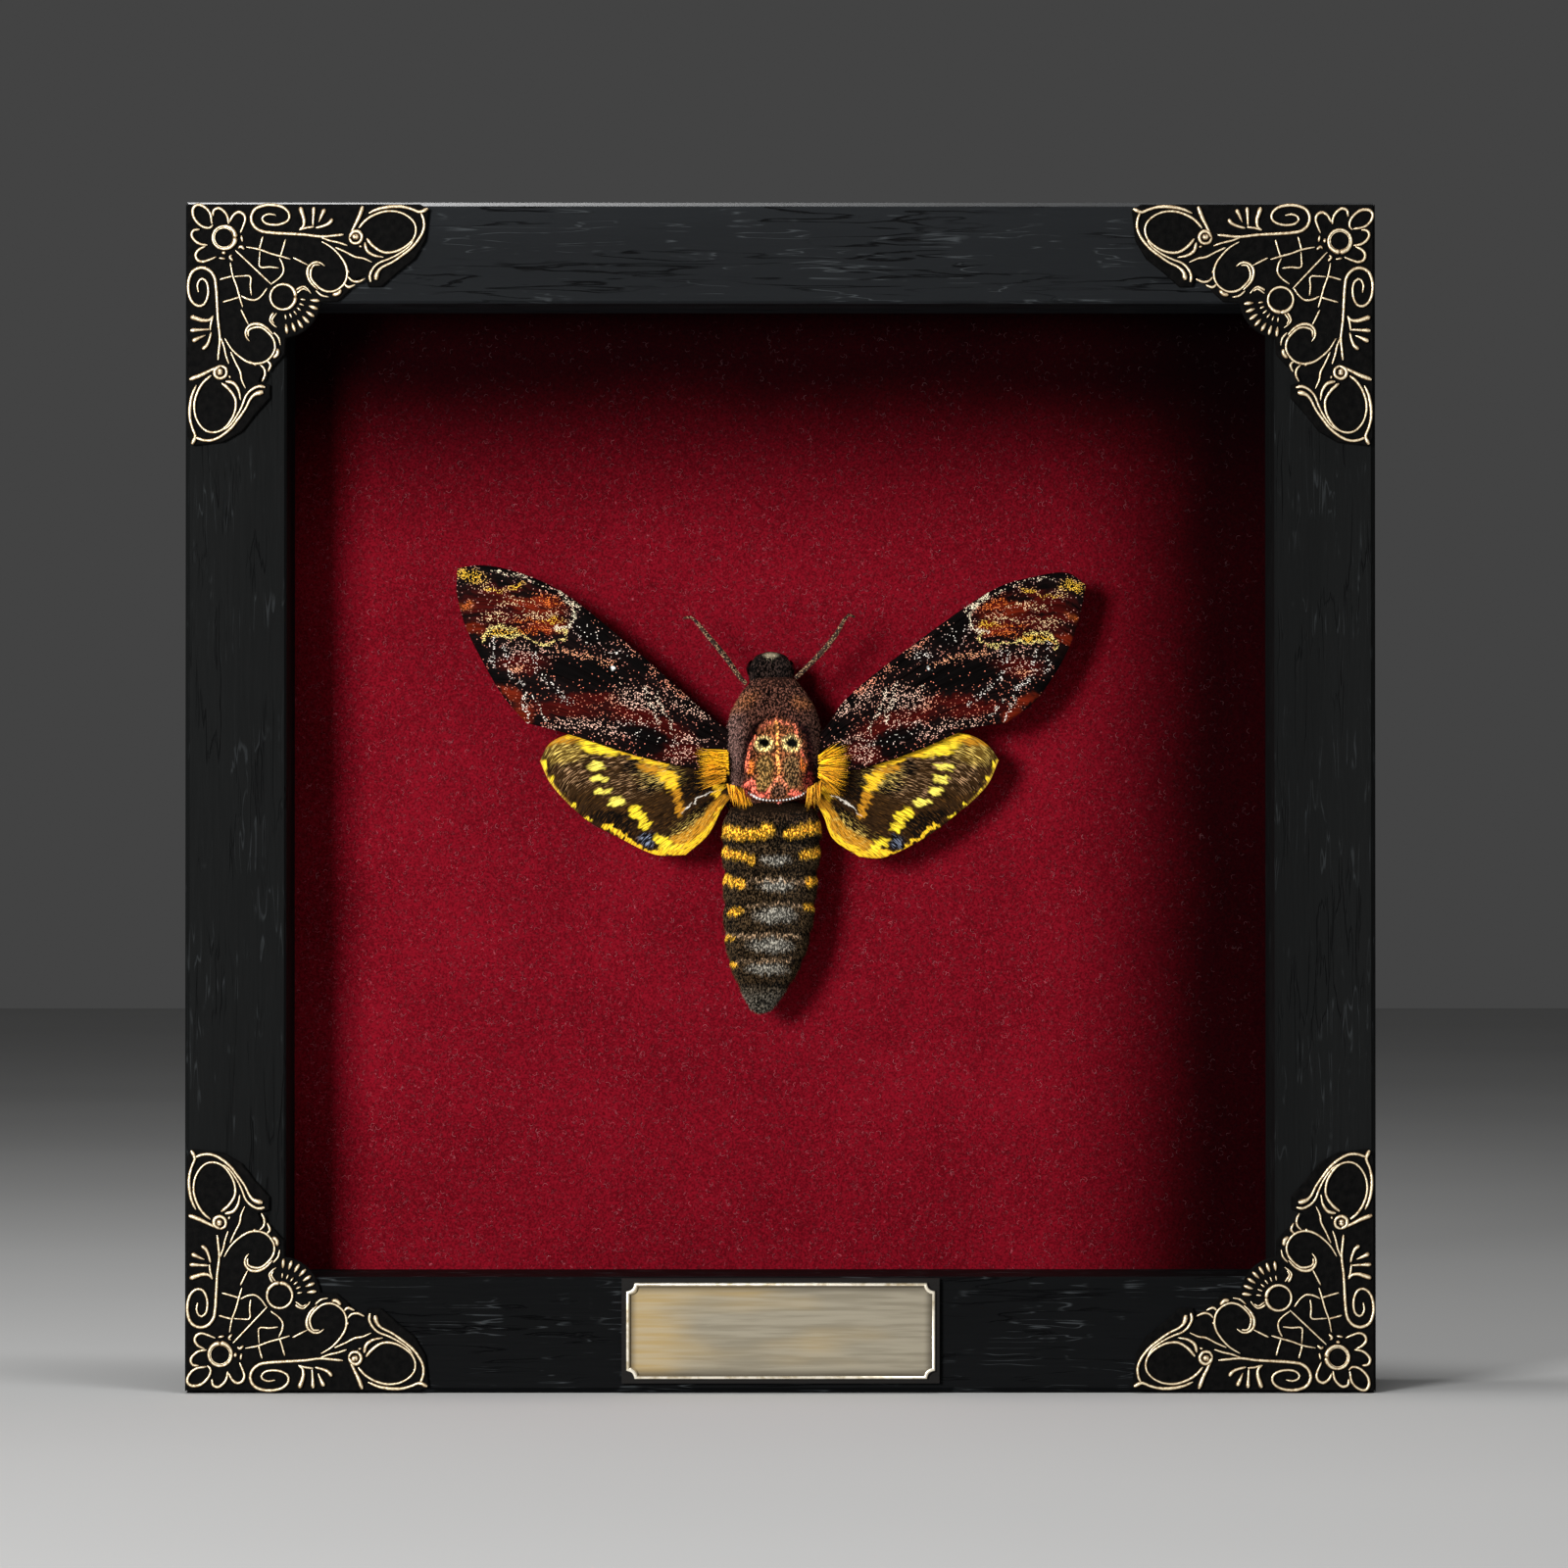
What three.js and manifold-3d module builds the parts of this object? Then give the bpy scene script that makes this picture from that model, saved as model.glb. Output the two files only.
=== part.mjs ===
// A death's-head hawkmoth, wings spread, mounted in a square black shadow-box frame.
// The box has crimson flock behind the moth, four bronze filigree corners and a bare bronze plaque.
// Millimetres, +Z up. The open front of the box faces -Y and the box stands on its bottom edge.
import * as THREE from "three";
import { mergeVertices } from "three/addons/utils/BufferGeometryUtils.js";
import Module from "manifold-3d";

const wasm = await Module();
wasm.setup();

// Frame
const FRAME_SIZE = 200;
const RAIL_FACE = 17; // width of the top and side rails, seen from the front
const BOTTOM_FACE = 19.5; // the bottom rail is wider, for the plaque
const RAIL_DEPTH = 31;
const RECESS = 22; // from the front face to the flock
const REBATE = 6; // how far the rear rebate cuts into a rail
const ARRIS = 0.8; // bevel of a rail's outer front edge
const INNER_ARRIS = 0.4;
const GAP = 0.3; // between pieces that touch
const BACKING_THICK = 5;
const PANEL_THICK = 3;

// Rear hardware
const BUTTON_LENGTH = 24;
const BUTTON_WIDTH = 9;
const BUTTON_THICK = 1;
const SCREW_RADIUS = 3;
const SCREW_RISE = 0.9;
const HANGER_LENGTH = 46;
const HANGER_HEIGHT = 9;
const HANGER_TEETH = 9;
const HANGER_BELOW = 1; // from the top of the frame
const NAIL_INSET = 4; // from the end of the hanger
const NAIL_SCALE = 0.6; // a nail's head as a share of a screw's

// Bronze corners and plaque
const PLATE_THICK = 0.6;
const STROKE_RISE = 0.8; // how far the boldest stroke stands over its plate
const STROKE_PROUD = 0.1; // how far the axis of a stroke stands over its plate
const BOLD = STROKE_RISE - STROKE_PROUD; // radius of the boldest strokes
const MEDIUM = BOLD * 0.8;
const FINE = 0.45;
const ORNAMENT_RISE = GAP + PLATE_THICK + STROKE_RISE;
const FLOWER_CENTRE = 6.2; // from both outer edges of the frame
const FLOWER_RADIUS = 2;
const SUN_CENTRE = 16.05;
const SUN_RADIUS = 2.1;
const FAN_RADIUS = 6.9;
const RAYS = 7;
const RAY_ENDS = [4.6, 6.3]; // from the sun's centre
const PETAL_RADIUS = 1.3;
const PLAQUE_LENGTH = 53.3;
const PLAQUE_HEIGHT = 17.6;
const PLAQUE_FOOT = 1.7; // height of the plaque's lower edge
const PLAQUE_THICK = 0.9;
const RIM_RISE = 0.4;
const RIM_INSET = 0.7;
const RIM_WIDTH = 0.7;
const RIM_NOTCH = 1.3;

// Moth, measured from the middle of its thorax, in the plane of its forewings
const MOTH_X = -1.1;
const MOTH_Z = 110.4;
const WING_DEPTH = 11.5; // from the frame's front face
const WING_THICK = 0.6;
const HINDWING_BEHIND = 1.6;
const VEIN_RISE = 0.35;
const VEIN_SHARE = 0.02; // half a vein's width as a share of the wing's
const TIP_BACK = 1.6; // how far the wingtips curve back
const ARCH = 0.8; // how far the middle of each wing bows forward
const WINGSPAN_HALF = 53.5;
const BODY_FLATNESS = 0.8; // depth of the body as a share of its width
const THORAX_BEHIND = 1; // axis of the thorax behind the wing plane
const HEAD_BEHIND = 1.4;
const HEAD_ASIDE = -0.5;
const EYE_RADIUS = 1.9;
const EYE_PLACE = [2.4, 1.7, 11.5]; // sideways from the head's axis, behind the wing plane, up
const ABDOMEN_BEHIND = 1.4;
const ABDOMEN_ASIDE = 0.3;
const ABDOMEN_TOP = -9.4;
const ABDOMEN_TIP = -47.2;
const GROOVE = 0.965; // a ring's width at its grooves and at its fullest, as shares of the profile
const SWELL = 1.02;
const TAIL_BEND = 1.9; // sideways bend of the tail
const ANTENNA_RADII = [0.34, 0.45, 0.5, 0.42, 0.2];
const LEG_RADII = [0.7, 0.6, 0.45, 0.3];
const PIN_RADIUS = 0.8;
const THORAX_PIN = -1; // height of each pin
const ABDOMEN_PIN = -24;

const DEPTH = ORNAMENT_RISE + RAIL_DEPTH + GAP + BUTTON_THICK + SCREW_RISE;
const FRONT = ORNAMENT_RISE - DEPTH / 2; // y of the rails' front face
const REAR = FRONT + RAIL_DEPTH;
const FLOCK = FRONT + RECESS + GAP; // y of the flock's surface
const HALF = FRAME_SIZE / 2;
const BOTTOM_SCALE = BOTTOM_FACE / RAIL_FACE;
const QUARTER = Math.PI / 2;

const BLACK_WOOD = finish(0x17181a, 0.45, 0);
const FLOCK_RED = finish(0x7d1422, 0.95, 0);
const PANEL_BROWN = finish(0x5b4632, 0.8, 0);
const STEEL = finish(0x9a9a96, 0.35, 1);
const BRONZE = finish(0xb89a6a, 0.4, 0.9);
const WING_BROWN = finish(0x33221b, 0.8, 0);
const WING_YELLOW = finish(0xc98a2a, 0.8, 0);
const FUR_DARK = finish(0x2a1d17, 0.9, 0);
const BAND_OLIVE = finish(0x54482e, 0.9, 0);
const EYE_BLACK = finish(0x0d0a09, 0.15, 0);
const HORN_BROWN = finish(0x3b2a1e, 0.6, 0);

function finish(color, roughness, metalness) {
  return new THREE.MeshStandardMaterial({ color, roughness, metalness });
}

// A mesh with its node's name and a material of its own.
function node(name, geometry, material) {
  const mesh = new THREE.Mesh(geometry, material.clone());
  mesh.name = name;
  return mesh;
}

function vector(x, y, z) {
  return new THREE.Vector3(x, y, z);
}

// Moves each corner of a geometry by a function of its place.
function reshape(geometry, move) {
  const places = geometry.getAttribute("position");
  const point = vector(0, 0, 0);
  for (let i = 0; i < places.count; i++) {
    point.fromBufferAttribute(places, i);
    move(point);
    places.setXYZ(i, point.x, point.y, point.z);
  }
  geometry.computeVertexNormals();
  return geometry;
}

// A geometry as a solid that can be joined and cut.
function solid(geometry) {
  const bare = new THREE.BufferGeometry();
  const source = geometry.index ? geometry.toNonIndexed() : geometry;
  bare.setAttribute("position", source.getAttribute("position"));
  const merged = mergeVertices(bare, 1e-3);
  const vertProperties = merged.getAttribute("position").array;
  const triVerts = new Uint32Array(merged.index.array);
  return new wasm.Manifold(new wasm.Mesh({ numProp: 3, vertProperties, triVerts }));
}

// The largest closed surface of a solid, as a geometry.
function largest(shape) {
  const bodies = shape.decompose().sort((a, b) => b.volume() - a.volume());
  const mesh = bodies[0].getMesh();
  const corners = new Float32Array(mesh.numVert * 3);
  for (let i = 0; i < mesh.numVert; i++) {
    const at = i * mesh.numProp;
    corners.set(mesh.vertProperties.subarray(at, at + 3), i * 3);
  }
  const shared = new THREE.BufferGeometry();
  shared.setAttribute("position", new THREE.BufferAttribute(corners, 3));
  shared.setIndex(new THREE.BufferAttribute(mesh.triVerts, 1));
  const faces = shared.toNonIndexed();
  faces.computeVertexNormals();
  return faces;
}

function join(geometries) {
  return largest(geometries.map(solid).reduce((whole, piece) => whole.add(piece)));
}

function cut(geometry, cutters) {
  return largest(cutters.map(solid).reduce((left, tool) => left.subtract(tool), solid(geometry)));
}

// A tapered rod bent along a curve: a spindle turned to the radii given, then laid on the curve.
function bentRod(curve, radii, sides, steps) {
  const taper = new THREE.SplineCurve(radii.map((radius, i) => new THREE.Vector2(i, radius)));
  const profile = [new THREE.Vector2(0, 0)];
  for (let i = 0; i <= steps; i++) profile.push(new THREE.Vector2(taper.getPoint(i / steps).y, i));
  profile.push(new THREE.Vector2(0, steps));
  const frames = curve.computeFrenetFrames(steps, false);
  const path = curve.getSpacedPoints(steps);
  return reshape(new THREE.LatheGeometry(profile, sides), (p) => {
    const i = Math.round(p.y);
    const outward = frames.normals[i].clone().multiplyScalar(p.z);
    const sideways = frames.binormals[i].clone().multiplyScalar(p.x);
    p.copy(path[i]).add(outward).add(sideways);
  });
}

function curveThrough(points) {
  return new THREE.CatmullRomCurve3(points.map(([x, y, z]) => vector(x, y, z)));
}

// A flat outline in the plane of the frame, thickened backwards from the depth given.
function plate(shape, front, thick) {
  const flat = new THREE.ExtrudeGeometry(shape, { depth: thick, bevelEnabled: false, curveSegments: 6 });
  return flat.rotateX(QUARTER).translate(0, front + thick, 0);
}

// A rail: one profile swept straight, its ends sheared to the mitres.
function rail(start, inward, widthScale, startMitre, endMitre) {
  const outline = [
    [ARRIS, 0],
    [RAIL_FACE - INNER_ARRIS, 0],
    [RAIL_FACE, INNER_ARRIS],
    [RAIL_FACE, RECESS],
    [RAIL_FACE - REBATE, RECESS],
    [RAIL_FACE - REBATE, RAIL_DEPTH],
    [0, RAIL_DEPTH],
    [0, ARRIS],
  ];
  const shape = new THREE.Shape(outline.map(([w, d]) => new THREE.Vector2(w * widthScale, d)));
  const bar = new THREE.ExtrudeGeometry(shape, { depth: FRAME_SIZE, bevelEnabled: false });
  const mitreGap = (GAP / 2) * Math.SQRT2;
  reshape(bar, (p) => {
    if (p.z < HALF) p.z = p.x * startMitre + mitreGap;
    else p.z = FRAME_SIZE - p.x * endMitre - mitreGap;
  });
  const back = vector(0, 1, 0);
  const along = inward.clone().cross(back);
  const place = new THREE.Matrix4().makeBasis(inward, back, along).setPosition(start);
  return bar.applyMatrix4(place);
}

function rails() {
  const wide = BOTTOM_SCALE;
  const top = rail(vector(-HALF, FRONT, FRAME_SIZE), vector(0, 0, -1), 1, 1, 1);
  const bottom = rail(vector(HALF, FRONT, 0), vector(0, 0, 1), wide, 1 / wide, 1 / wide);
  const left = rail(vector(-HALF, FRONT, 0), vector(1, 0, 0), 1, wide, 1);
  const right = rail(vector(HALF, FRONT, FRAME_SIZE), vector(-1, 0, 0), 1, 1, wide);
  return [
    node("rail_top", top, BLACK_WOOD),
    node("rail_bottom", bottom, BLACK_WOOD),
    node("rail_left", left, BLACK_WOOD),
    node("rail_right", right, BLACK_WOOD),
  ];
}

// The flocked board behind the moth and the panel that closes the back, both let into the rebate.
function boards() {
  const low = (RAIL_FACE - REBATE) * BOTTOM_SCALE + GAP;
  const high = FRAME_SIZE - RAIL_FACE + REBATE - GAP;
  const width = FRAME_SIZE - 2 * (RAIL_FACE - REBATE + GAP);
  const board = (thick, front) => {
    const slab = new THREE.BoxGeometry(width, thick, high - low);
    return slab.translate(0, front + thick / 2, (high + low) / 2);
  };
  return [
    node("backing_board", board(BACKING_THICK, FLOCK), FLOCK_RED),
    node("back_panel", board(PANEL_THICK, FLOCK + BACKING_THICK + GAP), PANEL_BROWN),
  ];
}

// A domed screw head on the rear face of a plate that lies from y = 0 to its thickness.
function screwHead(radius, rise) {
  const profile = [new THREE.Vector2(0, BUTTON_THICK / 2), new THREE.Vector2(radius, BUTTON_THICK / 2)];
  const rounds = 3;
  for (let i = 0; i <= rounds; i++) {
    const turn = (i / rounds) * QUARTER;
    profile.push(new THREE.Vector2(radius * Math.cos(turn), BUTTON_THICK + rise * Math.sin(turn)));
  }
  profile[profile.length - 1].x = 0;
  return new THREE.LatheGeometry(profile, 12);
}

// A round-ended button with its screw, turned over the panel to hold it in.
function turnButton(name, x, z, angle) {
  const round = BUTTON_WIDTH / 2;
  const shape = new THREE.Shape();
  shape.absarc(BUTTON_LENGTH - BUTTON_WIDTH, 0, round, -QUARTER, QUARTER);
  shape.absarc(0, 0, round, QUARTER, 3 * QUARTER);
  const button = join([plate(shape, 0, BUTTON_THICK), screwHead(SCREW_RADIUS, SCREW_RISE)]);
  const mesh = node(name, button, STEEL);
  mesh.rotation.y = angle;
  mesh.position.set(x, REAR + GAP, z);
  return mesh;
}

function turnButtons() {
  const offset = HALF - (RAIL_FACE - REBATE) / 2;
  const heights = { low: FRAME_SIZE * 0.3, high: FRAME_SIZE * 0.7 };
  return Object.entries(heights).flatMap(([place, z]) => [
    turnButton("turn_button_left_" + place, -offset, z, 0),
    turnButton("turn_button_right_" + place, offset, z, Math.PI),
  ]);
}

// A toothed strip nailed across the back of the top rail, to hang the box by.
function hanger() {
  const end = HANGER_LENGTH / 2;
  const toothed = HANGER_LENGTH * 0.3;
  const tooth = (2 * toothed) / HANGER_TEETH;
  const shape = new THREE.Shape().moveTo(-end, 0).lineTo(-toothed, 0);
  for (let i = 0; i < HANGER_TEETH; i++) {
    shape.lineTo(-toothed + (i + 0.5) * tooth, tooth * 0.7);
    shape.lineTo(-toothed + (i + 1) * tooth, 0);
  }
  shape.lineTo(end, 0).lineTo(end, HANGER_HEIGHT).lineTo(-end, HANGER_HEIGHT);
  const nail = screwHead(SCREW_RADIUS * NAIL_SCALE, SCREW_RISE * NAIL_SCALE);
  nail.translate(end - NAIL_INSET, 0, HANGER_HEIGHT / 2);
  const otherNail = nail.clone().translate(2 * (NAIL_INSET - end), 0, 0);
  const strip = join([plate(shape, 0, BUTTON_THICK), nail, otherNail]);
  const foot = FRAME_SIZE - HANGER_HEIGHT - HANGER_BELOW;
  return node("hanger", strip.translate(0, REAR + GAP, foot), STEEL);
}

// Half of a corner's filigree, in millimetres across and down from the frame's corner.
// The other half is the same with the two swapped.
const SPIRAL = [
  [14.9, 2.4],
  [12.4, 3],
  [15.9, 4],
  [17, 2.4],
  [13.9, 1.1],
  [10.9, 2.9],
  [13.1, 5.1],
  [18, 5.5],
  [26.3, 5.9],
];
const END_LOOP = [
  [29, 4.4],
  [31.4, 2.2],
  [35, 1.2],
  [38.9, 2],
  [39.7, 4.5],
  [37.8, 7.8],
  [34.5, 10.3],
  [32, 11.8],
  [31.7, 13.3],
];
const C_SCROLL = [
  [22.6, 6.8],
  [26.9, 10.9],
  [25.1, 15.7],
  [20.7, 13.9],
  [20.5, 11.6],
  [23, 10.6],
];
const WEB_THREAD = [
  [9, 7.7],
  [16.4, 9.3],
  [20.3, 10.9],
];
const WEB_DIAGONAL = [
  [8, 8],
  [14.3, 14.3],
];
const CORNER_PETAL = [2.8, 2.8];
const PETALS = [
  [5.7, 2.5],
  [8.6, 3.6],
];
const LEAVES = [
  [19.7, 4.5, 19, 1.2],
  [20.7, 4.3, 21.2, 1.2],
  [21.6, 4.3, 23, 1.8],
  [22.1, 4.3, 24.3, 2.8],
];
const BLADE = [
  [29.7, 1],
  [28.4, 3.4],
  [27.4, 6.4],
];
const ARM_EDGE = [
  [0.4, 0.4],
  [39.5, 0.4],
  [41, 1.4],
  [40.4, 6.5],
  [38.6, 9.6],
  [35.8, 11.8],
  [33, 14.3],
  [30.8, 14.3],
  [30.2, 12.4],
  [28.4, 13.2],
  [27.6, 15],
  [25.6, 16.8],
  [23.1, 16.9],
];

function swapped(points) {
  return points.map(([across, down]) => [down, across]);
}

// The thin plate under a corner's strokes: two arms, and a fan over the corner of the opening.
function cornerPlate(front) {
  const fan = [];
  const steps = 6;
  for (let i = 1; i < steps; i++) {
    const turn = (i / steps) * QUARTER;
    fan.push([SUN_CENTRE + FAN_RADIUS * Math.cos(turn), SUN_CENTRE + FAN_RADIUS * Math.sin(turn)]);
  }
  const edge = [...ARM_EDGE, ...fan, ...swapped(ARM_EDGE).reverse().slice(0, -1)];
  const shape = new THREE.Shape(edge.map(([a, d]) => new THREE.Vector2(a - HALF, FRAME_SIZE - d)));
  return plate(shape, front, PLATE_THICK);
}

// One corner's ornament, made for the top left corner and turned about the middle of the frame.
function cornerOrnament(name, quarterTurns) {
  const front = FRONT - GAP - PLATE_THICK;
  const place = ([across, down]) => vector(across - HALF, front - STROKE_PROUD, FRAME_SIZE - down);
  const stroke = (points, radii, steps) =>
    bentRod(new THREE.CatmullRomCurve3(points.map(place)), radii, 3, steps);
  const ring = (centre, radius, thick, sides) => {
    const hoop = new THREE.TorusGeometry(radius, thick, 3, sides).rotateX(-QUARTER);
    const middle = place(centre);
    return hoop.translate(middle.x, middle.y, middle.z);
  };
  const petal = (centre) => ring(centre, PETAL_RADIUS, FINE, 7);
  const tapered = [FINE * 0.7, FINE * 1.3];

  const pieces = [cornerPlate(front)];
  pieces.push(ring([FLOWER_CENTRE, FLOWER_CENTRE], FLOWER_RADIUS, MEDIUM, 10));
  pieces.push(ring([SUN_CENTRE, SUN_CENTRE], SUN_RADIUS, MEDIUM, 10));
  pieces.push(petal(CORNER_PETAL));
  pieces.push(stroke(WEB_DIAGONAL, [FINE, FINE], 1));
  for (let i = 0; i < RAYS; i++) {
    const turn = ((i + 0.5) / RAYS) * QUARTER;
    const ray = RAY_ENDS.map((r) => [SUN_CENTRE + r * Math.cos(turn), SUN_CENTRE + r * Math.sin(turn)]);
    pieces.push(stroke(ray, tapered, 1));
  }
  for (const half of [(points) => points, swapped]) {
    pieces.push(stroke(half(SPIRAL), [FINE, MEDIUM, MEDIUM, FINE], 14));
    pieces.push(stroke(half(END_LOOP), [FINE, BOLD, BOLD, FINE], 9));
    pieces.push(stroke(half(C_SCROLL), [FINE, BOLD, BOLD, FINE], 8));
    pieces.push(stroke(half(WEB_THREAD), [FINE, FINE], 2));
    pieces.push(stroke(half(BLADE), [FINE, BOLD, FINE], 3));
    for (const centre of half(PETALS)) pieces.push(petal(centre));
    for (const [x1, y1, x2, y2] of LEAVES) {
      pieces.push(stroke(half([[x1, y1], [x2, y2]]), tapered, 1));
    }
  }
  const ornament = join(pieces).translate(0, 0, -HALF).rotateY(quarterTurns * QUARTER);
  return node(name, ornament.translate(0, 0, HALF), BRONZE);
}

function corners() {
  const names = ["corner_top_left", "corner_bottom_left", "corner_bottom_right", "corner_top_right"];
  return names.map((name, i) => cornerOrnament(name, i));
}

// A rectangle about the origin whose corners are cut by small quarter circles.
function notchedOutline(shape, width, height, notch) {
  const x = width / 2;
  const y = height / 2;
  shape.moveTo(notch - x, -y).lineTo(x - notch, -y);
  shape.absarc(x, -y, notch, Math.PI, QUARTER, true);
  shape.absarc(x, y, notch, -QUARTER, -Math.PI, true);
  shape.absarc(-x, y, notch, 0, -QUARTER, true);
  shape.absarc(-x, -y, notch, QUARTER, 0, true);
  return shape;
}

// The bare plaque on the bottom rail: a flat plate with a raised rim.
function plaque() {
  const front = FRONT - GAP - PLAQUE_THICK;
  const slab = new THREE.BoxGeometry(PLAQUE_LENGTH, PLAQUE_THICK, PLAQUE_HEIGHT);
  const width = PLAQUE_LENGTH - 2 * RIM_INSET;
  const height = PLAQUE_HEIGHT - 2 * RIM_INSET;
  const rim = notchedOutline(new THREE.Shape(), width, height, RIM_NOTCH);
  const inside = [width - 2 * RIM_WIDTH, height - 2 * RIM_WIDTH, RIM_NOTCH];
  rim.holes.push(notchedOutline(new THREE.Path(), ...inside));
  const sunk = PLAQUE_THICK / 2;
  const raised = plate(rim, front - RIM_RISE, RIM_RISE + sunk);
  const whole = join([slab.translate(0, front + PLAQUE_THICK / 2, 0), raised]);
  return node("plaque", whole.translate(0, 0, PLAQUE_FOOT + PLAQUE_HEIGHT / 2), BRONZE);
}

// A body part turned about its length, flattened front to back. The profile holds height and half
// width, from the lowest point up. Grown by a margin, it is the tool that cuts its neighbours clear.
function turned(profile, sides, behind, grow) {
  const points = profile.map(([z, radius]) => new THREE.Vector2(radius > 0 ? radius + grow : 0, z));
  points[0].y -= grow;
  points[points.length - 1].y += grow;
  return reshape(new THREE.LatheGeometry(points, sides), (p) => {
    p.set(p.x, behind - p.z * BODY_FLATNESS, p.y);
  });
}

const THORAX = [
  [-11.4, 0],
  [-11, 3.8],
  [-10.3, 5.3],
  [-9.2, 6.2],
  [-7.5, 6.8],
  [-5, 7.3],
  [-2, 7.8],
  [2, 7.8],
  [4.7, 7.1],
  [6.5, 6.3],
  [8.3, 5.2],
  [10, 3.8],
  [10.8, 0],
];
const HEAD = [
  [7.8, 0],
  [8.2, 2.6],
  [9.4, 3.6],
  [11.2, 3.7],
  [12.6, 3.5],
  [13.5, 3],
  [14.1, 2.2],
  [14.5, 0],
];
const SEGMENT_ENDS = [
  [-10.4, 6.4],
  [-12.6, 8.1],
  [-17.5, 8.5],
  [-22.4, 8.1],
  [-27.9, 7.9],
  [-32.9, 7.5],
  [-37.4, 6.5],
  [-41.5, 4.5],
  [-46.2, 1.2],
];

function thorax(grow) {
  return turned(THORAX, 20, THORAX_BEHIND, grow);
}

function head(grow) {
  return turned(HEAD, 14, HEAD_BEHIND, grow).translate(HEAD_ASIDE, 0, 0);
}

// The abdomen: rings that swell between their grooves, bent a little to one side at the tail.
function abdomen(grow) {
  const profile = [[ABDOMEN_TOP, 0]];
  SEGMENT_ENDS.slice(0, -1).forEach(([z, radius], i) => {
    const [nextZ, nextRadius] = SEGMENT_ENDS[i + 1];
    const between = (share) => [z + (nextZ - z) * share, (radius + (nextRadius - radius) * share) * SWELL];
    profile.push([z, radius * GROOVE], between(0.25), between(0.75));
  });
  profile.push([...SEGMENT_ENDS.at(-1)], [ABDOMEN_TIP, 0]);
  const body = turned(profile.reverse(), 18, ABDOMEN_BEHIND, grow);
  return reshape(body, (p) => {
    const share = THREE.MathUtils.clamp((p.z - ABDOMEN_TOP) / (ABDOMEN_TIP - ABDOMEN_TOP), 0, 1);
    p.x -= TAIL_BEND * share ** 2 + ABDOMEN_ASIDE;
  });
}

// Depth of a wing's middle surface: it bows forward, and its tip curves back.
function wingDepth(x) {
  const share = Math.abs(x) / WINGSPAN_HALF;
  return TIP_BACK * share ** 2 - ARCH * Math.sin(Math.PI * share);
}

// A wing: a four-sided sheet between its front edge, outer edge and rear edge, from the root out.
// Veins run from the root to the outer edge, raised in the front surface.
function wing(edges, veins, rows, behind) {
  const spline = (points) => new THREE.CatmullRomCurve3(points.map(([x, z]) => vector(x, 0, z)));
  const [front, outer, rear] = edges.map(spline);
  const rootFront = front.getPoint(0);
  const rootRear = rear.getPoint(0);
  const tip = front.getPoint(1);
  const hindCorner = rear.getPoint(1);
  const columns = [0];
  const crests = new Set();
  for (const share of veins) {
    columns.push(share - VEIN_SHARE, share, share + VEIN_SHARE);
    crests.add(columns.length - 2);
  }
  columns.push(1);

  const middle = (s, t) => {
    const along = front.getPointAt(t).multiplyScalar(1 - s).addScaledVector(rear.getPointAt(t), s);
    const across = rootFront.clone().lerp(rootRear, s).multiplyScalar(1 - t);
    across.addScaledVector(outer.getPointAt(s), t);
    const flat = rootFront.clone().lerp(rootRear, s).lerp(tip.clone().lerp(hindCorner, s), t);
    return along.add(across).sub(flat);
  };

  const wide = columns.length;
  const corners = [];
  for (const face of [-1, 1]) {
    for (let row = 0; row <= rows; row++) {
      const t = row / rows;
      columns.forEach((s, column) => {
        const p = middle(s, t);
        const vein = face < 0 && crests.has(column) ? VEIN_RISE * (1 - 0.4 * t) : 0;
        corners.push(p.x, behind + wingDepth(p.x) + (face * WING_THICK) / 2 - vein, p.z);
      });
    }
  }

  const index = [];
  const backStart = wide * (rows + 1);
  const at = (row, column) => row * wide + column;
  const quad = (a, b, c, d) => index.push(a, b, d, b, c, d);
  for (let row = 0; row < rows; row++) {
    for (let column = 0; column < wide - 1; column++) {
      const [a, b, c, d] = [at(row, column), at(row + 1, column), at(row + 1, column + 1), at(row, column + 1)];
      quad(a, b, c, d);
      index.push(a + backStart, d + backStart, b + backStart, b + backStart, d + backStart, c + backStart);
    }
  }
  const loop = [];
  for (let column = 0; column < wide - 1; column++) loop.push(at(0, column));
  for (let row = 0; row < rows; row++) loop.push(at(row, wide - 1));
  for (let column = wide - 1; column > 0; column--) loop.push(at(rows, column));
  for (let row = rows; row > 0; row--) loop.push(at(row, 0));
  loop.forEach((corner, i) => {
    const next = loop[(i + 1) % loop.length];
    quad(corner, next, next + backStart, corner + backStart);
  });
  const geometry = new THREE.BufferGeometry();
  geometry.setAttribute("position", new THREE.Float32BufferAttribute(corners, 3));
  const turnedOver = tip.x > 0;
  if (turnedOver) index.reverse();
  geometry.setIndex(index);
  return geometry.toNonIndexed();
}

const FOREWING_VEINS = [0.05, 0.2, 0.33, 0.45, 0.57, 0.69, 0.81, 0.93];
const HINDWING_VEINS = [0.08, 0.24, 0.38, 0.52, 0.66, 0.8, 0.93];

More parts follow.
